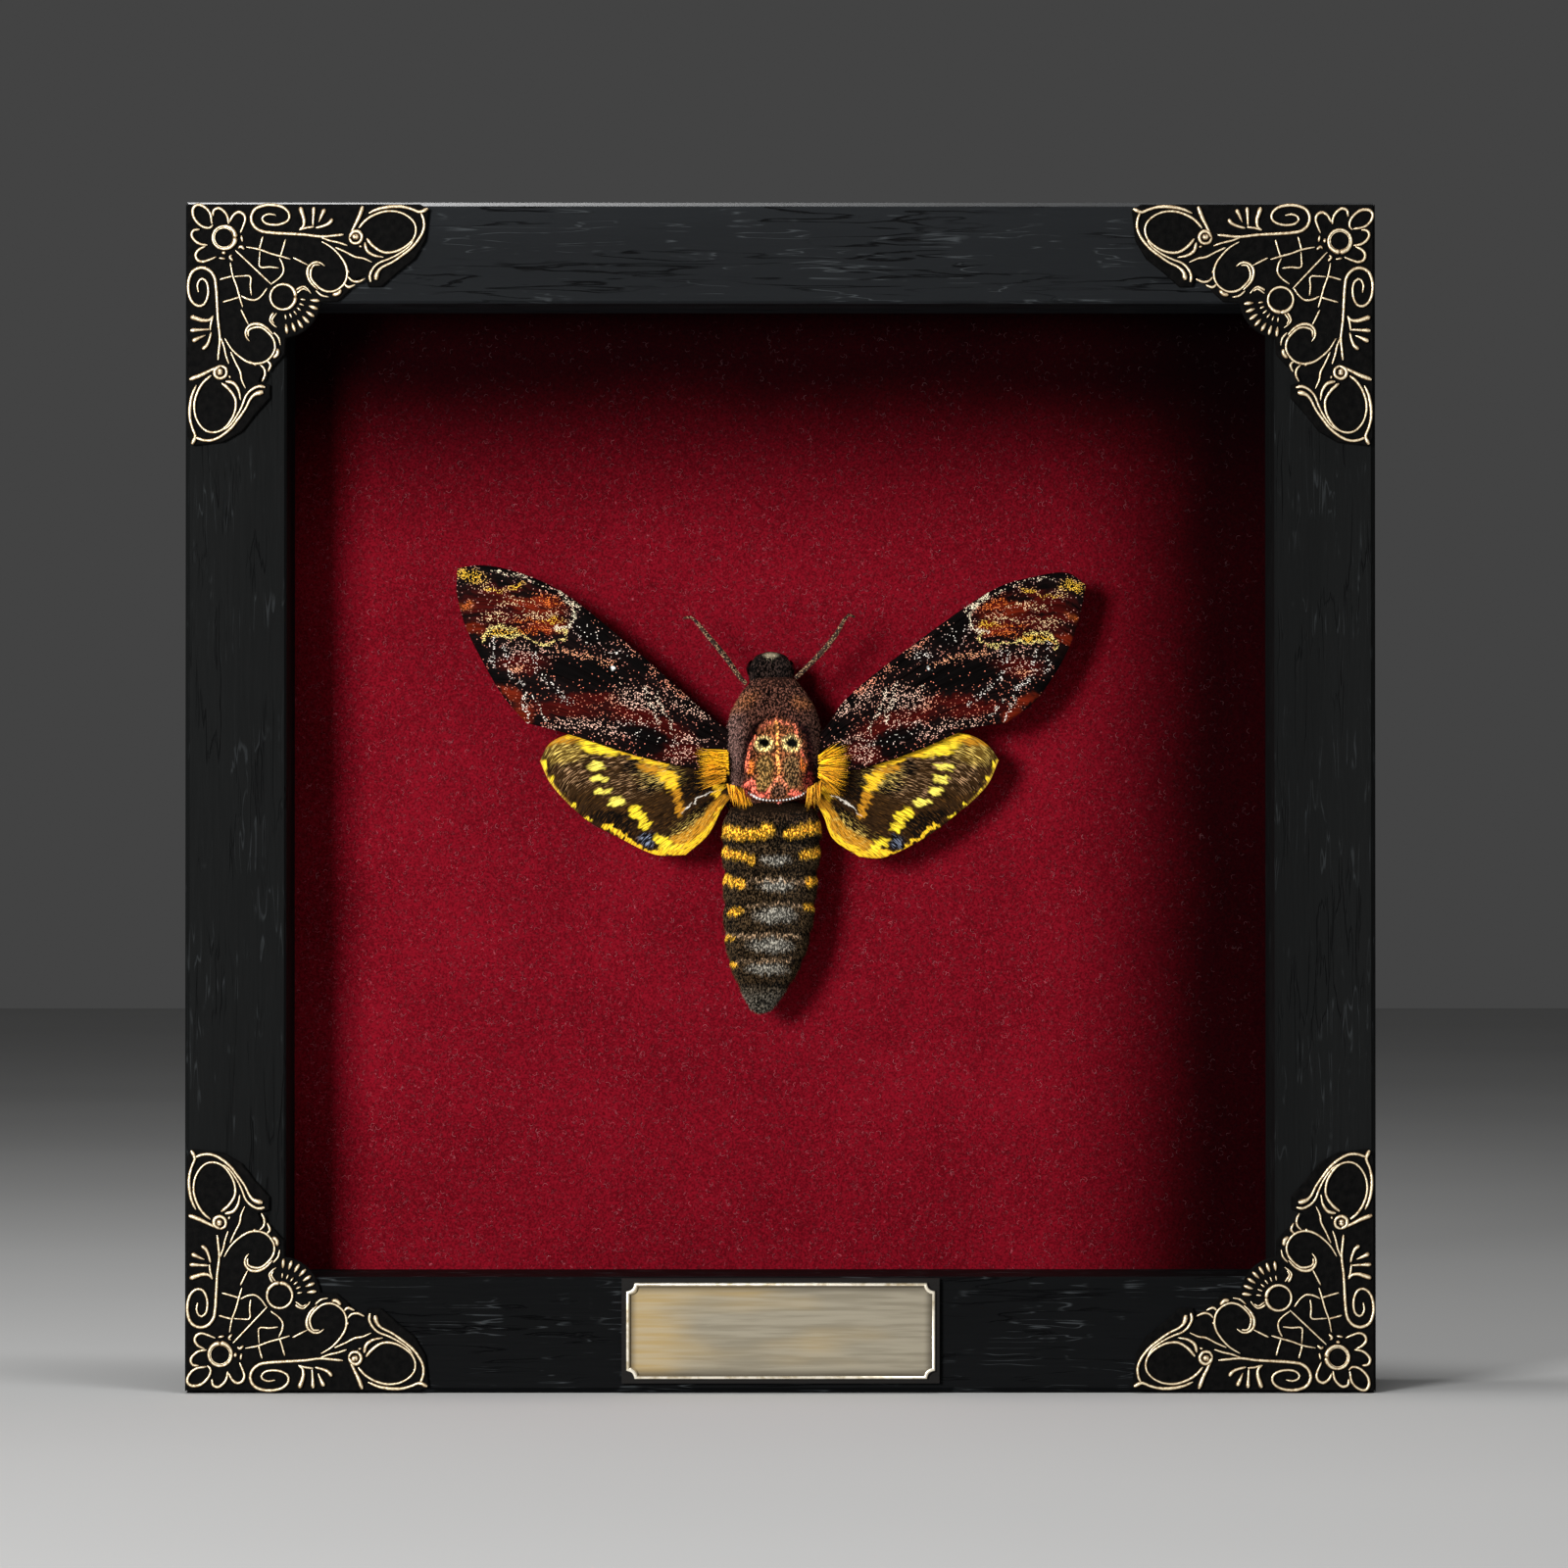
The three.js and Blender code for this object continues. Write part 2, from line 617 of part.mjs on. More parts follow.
// Each wing's front edge, outer edge and rear edge. The front and rear edges start inside the body.
const LEFT_FOREWING = [
  [[-3, -2], [-10, 2.8], [-23.3, 14.5], [-36.6, 24.9], [-44.9, 28.3], [-50, 29.1], [-53.7, 28.6]],
  [[-53.7, 28.6], [-53.9, 24.9], [-52.5, 19.1], [-49.9, 13.6], [-45.7, 6.5], [-42, 2.3]],
  [[-3, -6.2], [-13.3, -5.5], [-23.3, -3.3], [-35.2, 0.5], [-42, 2.3]],
];
const RIGHT_FOREWING = [
  [[3, -2], [8, 0.8], [12, 6.1], [24.9, 16.5], [38.2, 25.4], [43.2, 26.9], [49.9, 27.8], [53, 25.8]],
  [[53, 25.8], [52.2, 21.6], [49.9, 14.6], [44.4, 6.1], [39.4, 2.3]],
  [[3, -6.2], [13.3, -5.8], [24.1, -2.5], [33.2, 1.3], [39.4, 2.3]],
];
const LEFT_HINDWING = [
  [[-4, -1], [-15, 0.6], [-27, 1.2], [-34.5, 0.5], [-38.2, -1.3], [-39.7, -4.2]],
  [[-39.7, -4.2], [-37.9, -8], [-31.6, -14.3], [-26.6, -17], [-19.9, -20.1], [-15, -20.1]],
  [[-5, -8], [-8.6, -12], [-11.1, -16.6], [-15, -20.1]],
];
const RIGHT_HINDWING = [
  [[4, -1], [15, 0.6], [26, 1], [33.2, 0.3], [36.6, -1.7], [38.2, -4]],
  [[38.2, -4], [36.2, -8.3], [29.9, -14.1], [24.9, -17.6], [18.3, -20.6], [14.5, -20.4]],
  [[5, -8], [8.2, -13], [10, -17.3], [14.5, -20.4]],
];

// Feelers, from the side of the head out to the hooked tip.
const LEFT_ANTENNA = [
  [-2.5, 0.2, 7.4],
  [-5.3, -0.2, 9.5],
  [-8.3, -0.6, 13.6],
  [-11.6, -0.8, 17.5],
  [-14, -0.6, 20.2],
  [-15.2, 0.2, 20.1],
];
const RIGHT_ANTENNA = [
  [1.5, 0.2, 8],
  [3.9, -0.2, 10.1],
  [8.3, -0.6, 14.5],
  [10.6, -0.8, 17.4],
  [12.6, -0.6, 20.6],
  [13.7, 0.2, 20.3],
];

// Hip, knee, ankle and foot of each leg on one side, folded under the body.
const LEGS = {
  front: [[2, 5, 6.5], [6.3, 7.6, 5.4], [4.4, 8.7, 2.2], [2.8, 9, 1]],
  middle: [[3, 5, 1], [9, 7.4, 0], [6.3, 8.7, -3.6], [4.4, 9, -5.6]],
  hind: [[3, 5, -4.5], [9.4, 7.4, -7.2], [7, 8.7, -13], [5.4, 9, -17]],
};

function moth() {
  const group = new THREE.Group();
  group.position.set(MOTH_X, FRONT + WING_DEPTH, MOTH_Z);
  const thoraxTool = thorax(GAP);
  const headTool = head(GAP);
  const abdomenTool = abdomen(GAP);
  const add = (name, geometry, material) => group.add(node(name, geometry, material));

  add("thorax", thorax(0), FUR_DARK);
  add("head", cut(head(0), [thoraxTool]), FUR_DARK);
  add("abdomen", cut(abdomen(0), [thoraxTool]), BAND_OLIVE);

  const forewings = { left: LEFT_FOREWING, right: RIGHT_FOREWING };
  const hindwings = { left: LEFT_HINDWING, right: RIGHT_HINDWING };
  const antennae = { left: LEFT_ANTENNA, right: RIGHT_ANTENNA };
  const body = [thoraxTool, abdomenTool];
  for (const [name, side] of [["left", -1], ["right", 1]]) {
    add("forewing_" + name, cut(wing(forewings[name], FOREWING_VEINS, 14, 0), body), WING_BROWN);
    const hindwing = wing(hindwings[name], HINDWING_VEINS, 12, HINDWING_BEHIND);
    add("hindwing_" + name, cut(hindwing, body), WING_YELLOW);
    const feeler = bentRod(curveThrough(antennae[name]), ANTENNA_RADII, 6, 14);
    add("antenna_" + name, cut(feeler, [headTool, thoraxTool]), HORN_BROWN);
    const [aside, behind, up] = EYE_PLACE;
    const eye = new THREE.SphereGeometry(EYE_RADIUS, 12, 8);
    eye.translate(HEAD_ASIDE + side * aside, behind, up);
    add("eye_" + name, cut(eye, [headTool, thoraxTool]), EYE_BLACK);
    for (const [pair, joints] of Object.entries(LEGS)) {
      const path = curveThrough(joints.map(([x, y, z]) => [side * x, y, z]));
      const leg = bentRod(path, LEG_RADII, 5, 10);
      add("leg_" + pair + "_" + name, cut(leg, body), HORN_BROWN);
    }
  }

  const pinTo = FLOCK - FRONT - WING_DEPTH - GAP;
  const pin = (from, z) => {
    const post = new THREE.CylinderGeometry(PIN_RADIUS, PIN_RADIUS, pinTo - from, 10);
    return post.translate(0, (pinTo + from) / 2, z);
  };
  add("pin_thorax", cut(pin(THORAX_BEHIND, THORAX_PIN), body), STEEL);
  add("pin_abdomen", cut(pin(ABDOMEN_BEHIND, ABDOMEN_PIN), body), STEEL);
  return group;
}

const specimen = new THREE.Group();
specimen.add(...rails(), ...boards(), ...turnButtons(), hanger(), ...corners(), plaque(), moth());

export default specimen;
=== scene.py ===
import math

import bpy
import numpy as np
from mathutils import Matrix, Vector


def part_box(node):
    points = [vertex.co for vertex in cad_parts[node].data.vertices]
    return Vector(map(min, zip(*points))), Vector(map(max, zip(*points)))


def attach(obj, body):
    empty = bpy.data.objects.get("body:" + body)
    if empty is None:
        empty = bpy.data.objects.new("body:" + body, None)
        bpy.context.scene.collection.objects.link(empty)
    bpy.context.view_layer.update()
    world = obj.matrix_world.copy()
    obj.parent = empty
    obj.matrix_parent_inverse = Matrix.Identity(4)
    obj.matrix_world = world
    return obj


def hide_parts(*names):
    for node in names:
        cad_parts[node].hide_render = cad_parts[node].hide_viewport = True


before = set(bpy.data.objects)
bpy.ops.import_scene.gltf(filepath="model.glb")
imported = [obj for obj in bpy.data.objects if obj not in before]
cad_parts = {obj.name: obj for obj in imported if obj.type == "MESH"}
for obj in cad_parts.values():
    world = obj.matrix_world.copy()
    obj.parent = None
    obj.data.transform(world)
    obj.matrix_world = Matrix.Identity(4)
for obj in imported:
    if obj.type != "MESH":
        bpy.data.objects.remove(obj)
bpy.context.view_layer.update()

MM = 0.001


# Camera and light.
# The camera looks straight at the open front of the box from 1.2 m. The main lamp stands a little to the
# left, so the moth's shadow falls to its right on the flock. A lamp overhead catches the upper edges.
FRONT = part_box("rail_top")[0][1]
VIEW_DISTANCE = 1.2
PHOTO_SIZE = 1600
PIXELS_PER_MM = 6.075  # of the photograph, at the rails' front face
PHOTO_SCALE = PIXELS_PER_MM / MM
PHOTO_FOOT = (796.5, 1421)  # the pixel at the middle of the frame's foot
AIM_ASIDE, AIM_HEIGHT = PHOTO_SIZE / 2 - PHOTO_FOOT[0], PHOTO_FOOT[1] - PHOTO_SIZE / 2
AIM = Vector((AIM_ASIDE / PHOTO_SCALE, FRONT, AIM_HEIGHT / PHOTO_SCALE))
EYE = AIM + Vector((-0.004, -VIEW_DISTANCE, -0.012))  # a little low and to the left
SENSOR = 36

camera_data = bpy.data.cameras.new("camera")
camera_data.sensor_width = SENSOR
camera_data.lens = SENSOR * VIEW_DISTANCE * PHOTO_SCALE / PHOTO_SIZE
camera = bpy.data.objects.new("camera", camera_data)
camera.location = EYE
camera.rotation_euler = (AIM - EYE).to_track_quat("-Z", "Y").to_euler()
bpy.context.scene.collection.objects.link(camera)
bpy.context.scene.camera = camera
bpy.context.scene.view_settings.view_transform = "Standard"


def lamp(name, place, aim, size, watts):
    """A soft rectangular lamp that shines at a place."""
    data = bpy.data.lights.new(name, "AREA")
    data.shape = "RECTANGLE"
    data.size, data.size_y = size
    data.energy = watts
    made = bpy.data.objects.new(name, data)
    made.location = place
    made.rotation_euler = (Vector(aim) - Vector(place)).to_track_quat("-Z", "Y").to_euler()
    bpy.context.scene.collection.objects.link(made)


MIDDLE = (0, FRONT, 0.1)
lamp("lamp_main", (-0.52, FRONT - 1.02, 0.3), MIDDLE, (0.3, 0.3), 14.3)
lamp("lamp_overhead", (-0.05, FRONT - 0.06, 0.95), MIDDLE, (0.5, 0.12), 4.5)

world = bpy.data.worlds.new("studio")
world.use_nodes = True
sky = world.node_tree.nodes["Background"].inputs
sky["Color"].default_value = (0.8, 0.8, 0.8, 1)
sky["Strength"].default_value = 0.07
bpy.context.scene.world = world


# Floor.
# A plain pale sheet that the box stands on. Every finish here is one material being mixed: arithmetic on
# its wires adds Math nodes, and every other node comes from Finish.node.
class Wire:
    """A socket of a finish: an expression on wires and numbers adds its Math nodes."""

    def __init__(self, finish, socket):
        self.finish, self.socket = finish, socket

    def sibling(self, name):
        return Wire(self.finish, self.socket.node.outputs[name])

    def math(self, operation, *values):
        return self.finish.node("ShaderNodeMath", {"operation": operation}, dict(enumerate(values)))

    def __add__(self, other):
        return self.math("ADD", self, other)

    def __sub__(self, other):
        return self.math("SUBTRACT", self, other)

    def __rsub__(self, other):
        return self.math("SUBTRACT", other, self)

    def __mul__(self, other):
        return self.math("MULTIPLY", self, other)

    def __lt__(self, other):
        return self.math("LESS_THAN", self, other)

    def __abs__(self):
        return self.math("ABSOLUTE", self)

    def least(self, other):
        return self.math("MINIMUM", self, other)

    def most(self, other):
        return self.math("MAXIMUM", self, other)

    __radd__ = __add__
    __rmul__ = __mul__


class Finish:
    """One material: its shader's plain values are set by name, and wires feed what varies."""

    def __init__(self, name, roughness, metallic=0.0, **more):
        self.material = bpy.data.materials.new(name)
        self.material.use_nodes = True
        self.tree = self.material.node_tree
        self.shader = self.tree.nodes["Principled BSDF"]
        self.feed("Roughness", roughness)
        self.feed("Metallic", metallic)
        for socket, value in more.items():
            self.feed(socket.replace("_", " "), value)

    def node(self, kind, settings=None, inputs=None, output=0):
        made = self.tree.nodes.new(kind)
        settings = dict(settings or {})
        stops = settings.pop("stops", ())
        for _ in stops[2:]:
            made.color_ramp.elements.new(0.5)
        for i, (place, colour) in enumerate(stops):
            made.color_ramp.elements[i].position = place
            made.color_ramp.elements[i].color = (*colour, 1)
        for key, value in settings.items():
            setattr(made, key, value)
        for key, value in (inputs or {}).items():
            self.join(value, made.inputs[key])
        return Wire(self, made.outputs[output])

    def join(self, value, socket):
        if isinstance(value, Wire):
            self.tree.links.new(value.socket, socket)
        else:
            socket.default_value = value

    def feed(self, name, value):
        self.join(value, self.shader.inputs[name])

    def place(self, stretch=(1, 1, 1)):
        """Object coordinates, stretched."""
        seen = self.node("ShaderNodeTexCoord", output="Object")
        return self.node("ShaderNodeMapping", None, {"Vector": seen, "Scale": stretch})

    def part(self, wire, name):
        """X, Y or Z of a vector."""
        return self.node("ShaderNodeSeparateXYZ", None, {0: wire}, name)

    def axis(self, name):
        return self.part(self.place(), name)

    def front_place(self):
        """The place as it is seen from the front."""
        return self.node("ShaderNodeCombineXYZ", None, {0: self.axis("X"), 1: self.axis("Z")})

    def dimmed(self, colour, light):
        """A colour with its light scaled."""
        return self.node("ShaderNodeVectorMath", {"operation": "SCALE"}, {0: colour, "Scale": light})

    def noise(self, scale, detail=2, stretch=(1, 1, 1), distortion=0.0, where=None):
        inputs = {"Vector": where or self.place(stretch), "Scale": scale, "Detail": detail}
        return self.node("ShaderNodeTexNoise", None, {**inputs, "Distortion": distortion})

    def painted(self, name, output="Color"):
        """A value painted on the mesh by point."""
        return self.node("ShaderNodeAttribute", {"attribute_name": name}, output=output)

    def ramp(self, wire, *stops):
        """Colours between stops of (place, colour)."""
        return self.node("ShaderNodeValToRGB", {"stops": stops}, {0: wire})

    def tint(self, wire, *stops):
        self.feed("Base Color", self.ramp(wire, *stops))

    def step(self, wire, low, high):
        """0 below low, 1 above high, smooth between."""
        ends = {"Value": wire, "From Min": low, "From Max": high}
        return self.node("ShaderNodeMapRange", {"interpolation_type": "SMOOTHSTEP"}, ends)

    def mix(self, factor, first, second):
        """One colour over another."""
        first, second = ((*c, 1) if isinstance(c, tuple) else c for c in (first, second))
        sockets = {0: factor, 6: first, 7: second}
        return self.node("ShaderNodeMix", {"data_type": "RGBA"}, sockets, 2)

    def bump(self, height, distance):
        self.feed("Normal", self.node("ShaderNodeBump", None, {"Height": height, "Distance": distance}))


def linear(red, green, blue):
    """A colour as the eye reads it, from 0 to 255, as the light it gives."""
    seen = (red / 255, green / 255, blue / 255)
    return tuple(c / 12.92 if c < 0.04045 else ((c + 0.055) / 1.055) ** 2.4 for c in seen)


FLOOR_HALF = 3
floor_paint = Finish("floor_paint", 0.85)
mottle = floor_paint.noise(3)
floor_paint.tint(mottle, (0.3, linear(196, 196, 195)), (0.7, linear(202, 202, 201)))
floor_mesh = bpy.data.meshes.new("floor")
rim = [(FLOOR_HALF * x, FLOOR_HALF * y, 0) for x, y in ((-1, -1), (1, -1), (1, 1), (-1, 1))]
floor_mesh.from_pydata(rim, [], [(0, 1, 2, 3)])
floor_mesh.materials.append(floor_paint.material)
floor = bpy.data.objects.new("floor", floor_mesh)
bpy.context.scene.collection.objects.link(floor)


# Rails.
# Four mitred lengths of black-stained wood, pressed with a fine wavy grain that runs along each rail. The
# top rail has the deepest cracks, and the polished bevel along its upper edge catches the light. Each
# rail's stain carries painted light and shade, lightest on the top rail and darkest on the bottom one,
# and thin painted highlights run along the grain's crests.
def give_finish(node_name, finish):
    """Gives a node of the frame its finish."""
    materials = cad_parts[node_name].data.materials
    materials.clear()
    materials.append(finish.material)


ARRIS = 0.8 * MM  # width of the polished bevel
RAIL_TOP_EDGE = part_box("rail_top")[1][2]
# The stain also holds painted light and shade: top rail lightest, bottom darkest, left darker than right.
RAIL_LOOKS = {  # the axis of the grain, the stain and how strongly the cracks show
    "rail_top": ("X", (30, 32, 34), 1.0),
    "rail_bottom": ("X", (9, 10, 11), 0.9),
    "rail_left": ("Z", (14, 15, 15), 0.45),
    "rail_right": ("Z", (19, 20, 20), 0.45),
}
for name, (along, stain_and_shade, depth) in RAIL_LOOKS.items():
    wood = Finish(name + "_wood_with_shade", 0.5, Specular_IOR_Level=0.05)
    stretch = [1.0, 1.0, 1.0]
    stretch["XYZ".index(along)] = 0.07
    ripple = wood.noise(1500, 3, stretch, 0.3)
    crack = wood.noise(480, 3, stretch, 0.35)
    broken = wood.step(wood.noise(130, 2, [s**0.5 for s in stretch]), 0.46, 0.6)
    groove = (1 - wood.step(abs(crack - 0.5), 0.0, 0.022)) * broken
    tone = wood.step(wood.noise(45, 3, stretch), 0.3, 0.7)
    dull, fresh = (tuple(c * k for c in linear(*stain_and_shade)) for k in (0.75, 1.2))
    shade = wood.mix(tone, dull, fresh)
    shade = wood.mix(groove * depth, shade, linear(6, 6, 7))
    # Painted highlight: thin pale lines along the grain's crests.
    crest_highlight = 1 - wood.step(abs(wood.noise(620, 2, stretch, 0.5) - 0.54), 0.0, 0.02)
    crest_highlight = crest_highlight * wood.step(wood.noise(160, 2), 0.48, 0.62)
    shade = wood.mix(crest_highlight * (depth * 0.5), shade, linear(74, 78, 80))
    wood.feed("Base Color", shade)
    polish = wood.step(wood.axis("Z"), RAIL_TOP_EDGE - 0.9 * ARRIS, RAIL_TOP_EDGE - 0.7 * ARRIS)
    wood.feed("Roughness", 0.72 - ripple * 0.15)
    wood.feed("Coat Weight", polish)
    wood.feed("Coat Roughness", 0.24)
    wood.bump(ripple * 0.35 - groove * 1.6 * depth, 0.16 * MM)
    give_finish(name, wood)


# Backing board.
# A foam board covered with crimson flock. The nap lies unevenly and curls into fine squiggles, and
# painted shade darkens it towards the top and the right. Pale lint fibres have settled on it.
flock = Finish("crimson_flock", 0.95, Specular_IOR_Level=0.02)
pile = flock.noise(3000, 2)
cloud = flock.noise(50, 3)
red = flock.mix(flock.step(pile * 0.75 + cloud * 0.25, 0.32, 0.68), linear(88, 7, 17), linear(134, 16, 32))
curl = flock.noise(1300, 1, distortion=1.4)
squiggle = (1 - flock.step(abs(curl - 0.5), 0.004, 0.028)) * flock.step(flock.noise(900, 1), 0.5, 0.6)
red = flock.mix(squiggle * 0.5, red, linear(196, 92, 104))
# Painted shade darkens the flock towards the top and the right.
PAINTED_SHADE_TOP = (135 * MM, 175 * MM)  # heights between which the flock fades
PAINTED_SHADE_RIGHT = (43 * MM, 75 * MM)  # and how far to the right
FADE_WANDER = 8 * MM
wander = (cloud - 0.5) * FADE_WANDER
up = flock.step(flock.axis("Z") + wander, *PAINTED_SHADE_TOP)
aside = flock.step(flock.axis("X") + wander, *PAINTED_SHADE_RIGHT)
lit = (1 - up * 0.97) * (1 - aside * 0.95)
flock.feed("Base Color", flock.mix(lit, linear(6, 0, 1), red))
flock.bump(pile * 0.8 + squiggle * 0.7, 0.1 * MM)
give_finish("backing_board", flock)


def add_piece(name, mesh, finish, slot, replaced=()):
    """A finished piece of the model that rides on the one body."""
    mesh.materials.clear()
    mesh.materials.append(finish.material)
    made = bpy.data.objects.new(name, mesh)
    bpy.context.scene.collection.objects.link(made)
    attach(made, "root")
    if replaced:
        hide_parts(*replaced)


class Tree:
    """A Geometry Nodes tree being built: named inputs, then nodes, then one output."""

    def __init__(self, name, **inputs):
        self.group = bpy.data.node_groups.new(name, "GeometryNodeTree")
        self.group.interface.new_socket("Geometry", in_out="INPUT", socket_type="NodeSocketGeometry")
        self.group.interface.new_socket("Geometry", in_out="OUTPUT", socket_type="NodeSocketGeometry")
        for key, kind in inputs.items():
            self.group.interface.new_socket(key, in_out="INPUT", socket_type="NodeSocket" + kind)
        self.source = self.group.nodes.new("NodeGroupInput").outputs

    def node(self, kind, settings=None, inputs=None):
        made = self.group.nodes.new(kind)
        for key, value in (settings or {}).items():
            setattr(made, key, value)
        for key, value in (inputs or {}).items():
            if isinstance(value, bpy.types.NodeSocket):
                self.group.links.new(value, made.inputs[key])
            else:
                made.inputs[key].default_value = value
        return made

    def times(self, first, second):
        return self.node("ShaderNodeMath", {"operation": "MULTIPLY"}, {0: first, 1: second}).outputs[0]

    def vector(self, operation, first, second):
        key = "Scale" if operation == "SCALE" else 1
        inputs = {0: first, key: second}
        return self.node("ShaderNodeVectorMath", {"operation": operation}, inputs).outputs[0]

    def chance(self, low, high, seed=0):
        """A random value for each point, between two numbers or two vectors."""
        kind, first = ("FLOAT_VECTOR", 0) if isinstance(low, tuple) else ("FLOAT", 2)
        ends = {first: low, first + 1: high, "Seed": seed}
        return self.node("FunctionNodeRandomValue", {"data_type": kind}, ends).outputs["Value"]

    def strewn(self, density):
        """Points strewn over the surface that the tree is given."""
        inputs = {"Mesh": self.source["Geometry"], "Density": density, "Seed": self.source["Seed"]}
        return self.node("GeometryNodeDistributePointsOnFaces", None, inputs).outputs

    def placed(self, points, piece, **more):
        """A copy of the piece at each point."""
        inputs = {"Points": points, "Instance": piece, **more}
        return self.node("GeometryNodeInstanceOnPoints", None, inputs).outputs[0]

    def swept(self, line, around, **more):
        """A tube along a line, closed at its ends."""
        inputs = {"Curve": line, "Profile Curve": around, "Fill Caps": True, **more}
        return self.node("GeometryNodeCurveToMesh", None, inputs).outputs[0]

    def local(self, geometry, scale=None):
        """The same geometry with each point's place on the piece kept as a value."""
        here = self.node("GeometryNodeInputPosition").outputs[0]
        place = here if scale is None else self.vector("SCALE", here, scale)
        return self.store(geometry, "local", place, "FLOAT_VECTOR", "POINT")

    def read(self, name, kind):
        made = self.node("GeometryNodeInputNamedAttribute", {"data_type": kind}, {"Name": name})
        return made.outputs["Attribute"]

    def store(self, geometry, name, value, kind, domain):
        settings = {"data_type": kind, "domain": domain}
        inputs = {"Geometry": geometry, "Name": name, "Value": value}
        return self.node("GeometryNodeStoreNamedAttribute", settings, inputs).outputs[0]

    def finish(self, geometry):
        """Makes the instances real, sets the material and ends the tree."""
        real = self.node("GeometryNodeRealizeInstances", None, {"Geometry": geometry}).outputs[0]
        inputs = {"Geometry": real, "Material": self.source["Material"]}
        painted = self.node("GeometryNodeSetMaterial", None, inputs)
        end = self.group.nodes.new("NodeGroupOutput")
        self.group.links.new(painted.outputs[0], end.inputs[0])

    def run(self, data, name, **values):
        """The plain mesh that the tree makes of a mesh or curve."""
        holder = bpy.data.objects.new(name + "_source", data)
        bpy.context.scene.collection.objects.link(holder)
        modifier = holder.modifiers.new("grow", "NODES")
        modifier.node_group = self.group
        for item in self.group.interface.items_tree:
            if item.in_out == "INPUT" and item.name in values:
                modifier[item.identifier] = values[item.name]
        seen = holder.evaluated_get(bpy.context.evaluated_depsgraph_get())
        mesh = bpy.data.meshes.new_from_object(seen)
        mesh.name = name
        bpy.data.objects.remove(holder)
        return mesh


def store_points(mesh, name, kind, values):
    """Writes one value for each point of a mesh."""
    key = {"FLOAT": "value", "FLOAT_VECTOR": "vector", "FLOAT_COLOR": "color"}[kind]
    mesh.attributes.new(name, kind, "POINT").data.foreach_set(key, np.asarray(values, float).ravel())


UV_PATCH = 0.0015  # half the side of the patch that one tuft or fibre has on the bake map


def patch_map(tree, geometry):
    """Gives each instance a small patch of the bake map at its root's place."""
    own = tree.vector("SCALE", tree.read("local", "FLOAT_VECTOR"), UV_PATCH)
    where = tree.vector("ADD", tree.read("root", "FLOAT_VECTOR"), own)
    real = tree.node("GeometryNodeRealizeInstances", None, {"Geometry": geometry}).outputs[0]
    return tree.store(real, "OFBake", where, "FLOAT2", "CORNER")


lint = Tree("lint_fibres", Density="Float", Seed="Int", Material="Material")
bend = {"Start": (-0.45 * MM, 0, 0), "Middle": (0.1 * MM, 0, 0.7 * MM), "End": (0.4 * MM, 0, -0.1 * MM)}
fibre_line = lint.node("GeometryNodeCurveQuadraticBezier", None, {"Resolution": 3, **bend})
fibre_round = lint.node("GeometryNodeCurvePrimitiveCircle", None, {"Resolution": 3, "Radius": 0.035 * MM})
fibre = lint.local(lint.swept(fibre_line.outputs[0], fibre_round.outputs[0]), 1 / MM)
strewn = lint.strewn(lint.source["Density"])
turns = lint.chance((-0.3, -3.1, -0.3), (0.3, 3.1, 0.3))
sizes = lint.chance(0.3, 1.1, 4)
lint.finish(patch_map(lint, lint.placed(strewn["Points"], fibre, Rotation=turns, Scale=sizes)))

flock_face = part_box("backing_board")[0][1]
inner_left, inner_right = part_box("rail_left")[1][0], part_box("rail_right")[0][0]
inner_low, inner_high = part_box("rail_bottom")[1][2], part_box("rail_top")[0][2]
LINT_RISE, LINT_MARGIN = 0.06 * MM, 1.5 * MM
level = flock_face - LINT_RISE
ends = ((inner_left + LINT_MARGIN, 0.02), (inner_right - LINT_MARGIN, 0.98))
sides = ((inner_low + LINT_MARGIN, 0.02), (inner_high - LINT_MARGIN, 0.98))
spots = [(ends[i], sides[k]) for i, k in ((0, 0), (1, 0), (1, 1), (0, 1))]
sheet = bpy.data.meshes.new("lint_sheet")
sheet.from_pydata([(x, level, z) for (x, _), (z, _) in spots], [], [(0, 1, 2, 3)])
store_points(sheet, "root", "FLOAT_VECTOR", [(across, up, 0) for (_, across), (_, up) in spots])
lint_finish = Finish("lint", 0.9)
# The lint gets the same painted shade as the flock, towards the top and the right.
up = lint_finish.step(lint_finish.axis("Z"), *PAINTED_SHADE_TOP)
aside = lint_finish.step(lint_finish.axis("X"), *PAINTED_SHADE_RIGHT)
lint_shade = (1 - up * 0.9) * (1 - aside * 0.85)
lint_stops = ((0.35, linear(120, 30, 44)), (0.65, linear(200, 110, 120)))
lint_red = lint_finish.ramp(lint_finish.noise(300), *lint_stops)
lint_finish.feed("Base Color", lint_finish.mix(lint_shade, linear(14, 2, 3), lint_red))
LINT_DENSITY = 0.3 / MM**2
lint_mesh = lint.run(sheet, "flock_lint", Density=LINT_DENSITY, Seed=11, Material=lint_finish.material)
add_piece("flock_lint", lint_mesh, lint_finish, "crimson_flock")


# Back of the box.
# A pressed fibre panel let into the rails, held by four zinc-plated turn buttons, with a toothed hanger.
# Two zinc pins hold the moth off the flock.
fibre_board = Finish("fibre_board", 0.85)
speckle = fibre_board.noise(700, 4)
fibre_board.tint(speckle, (0.3, (0.13, 0.08, 0.045)), (0.7, (0.24, 0.16, 0.095)))
fibre_board.bump(speckle, 0.1 * MM)
give_finish("back_panel", fibre_board)
zinc = Finish("zinc_plate", 0.35, 1.0)
spangle = zinc.noise(500, 3)
zinc.tint(spangle, (0.3, (0.45, 0.45, 0.43)), (0.7, (0.62, 0.62, 0.6)))
zinc.feed("Roughness", 0.25 + spangle * 0.3)
zinc.bump(spangle, 0.05 * MM)
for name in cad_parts:
    if name.startswith(("turn_button", "hanger", "pin_")):
        give_finish(name, zinc)
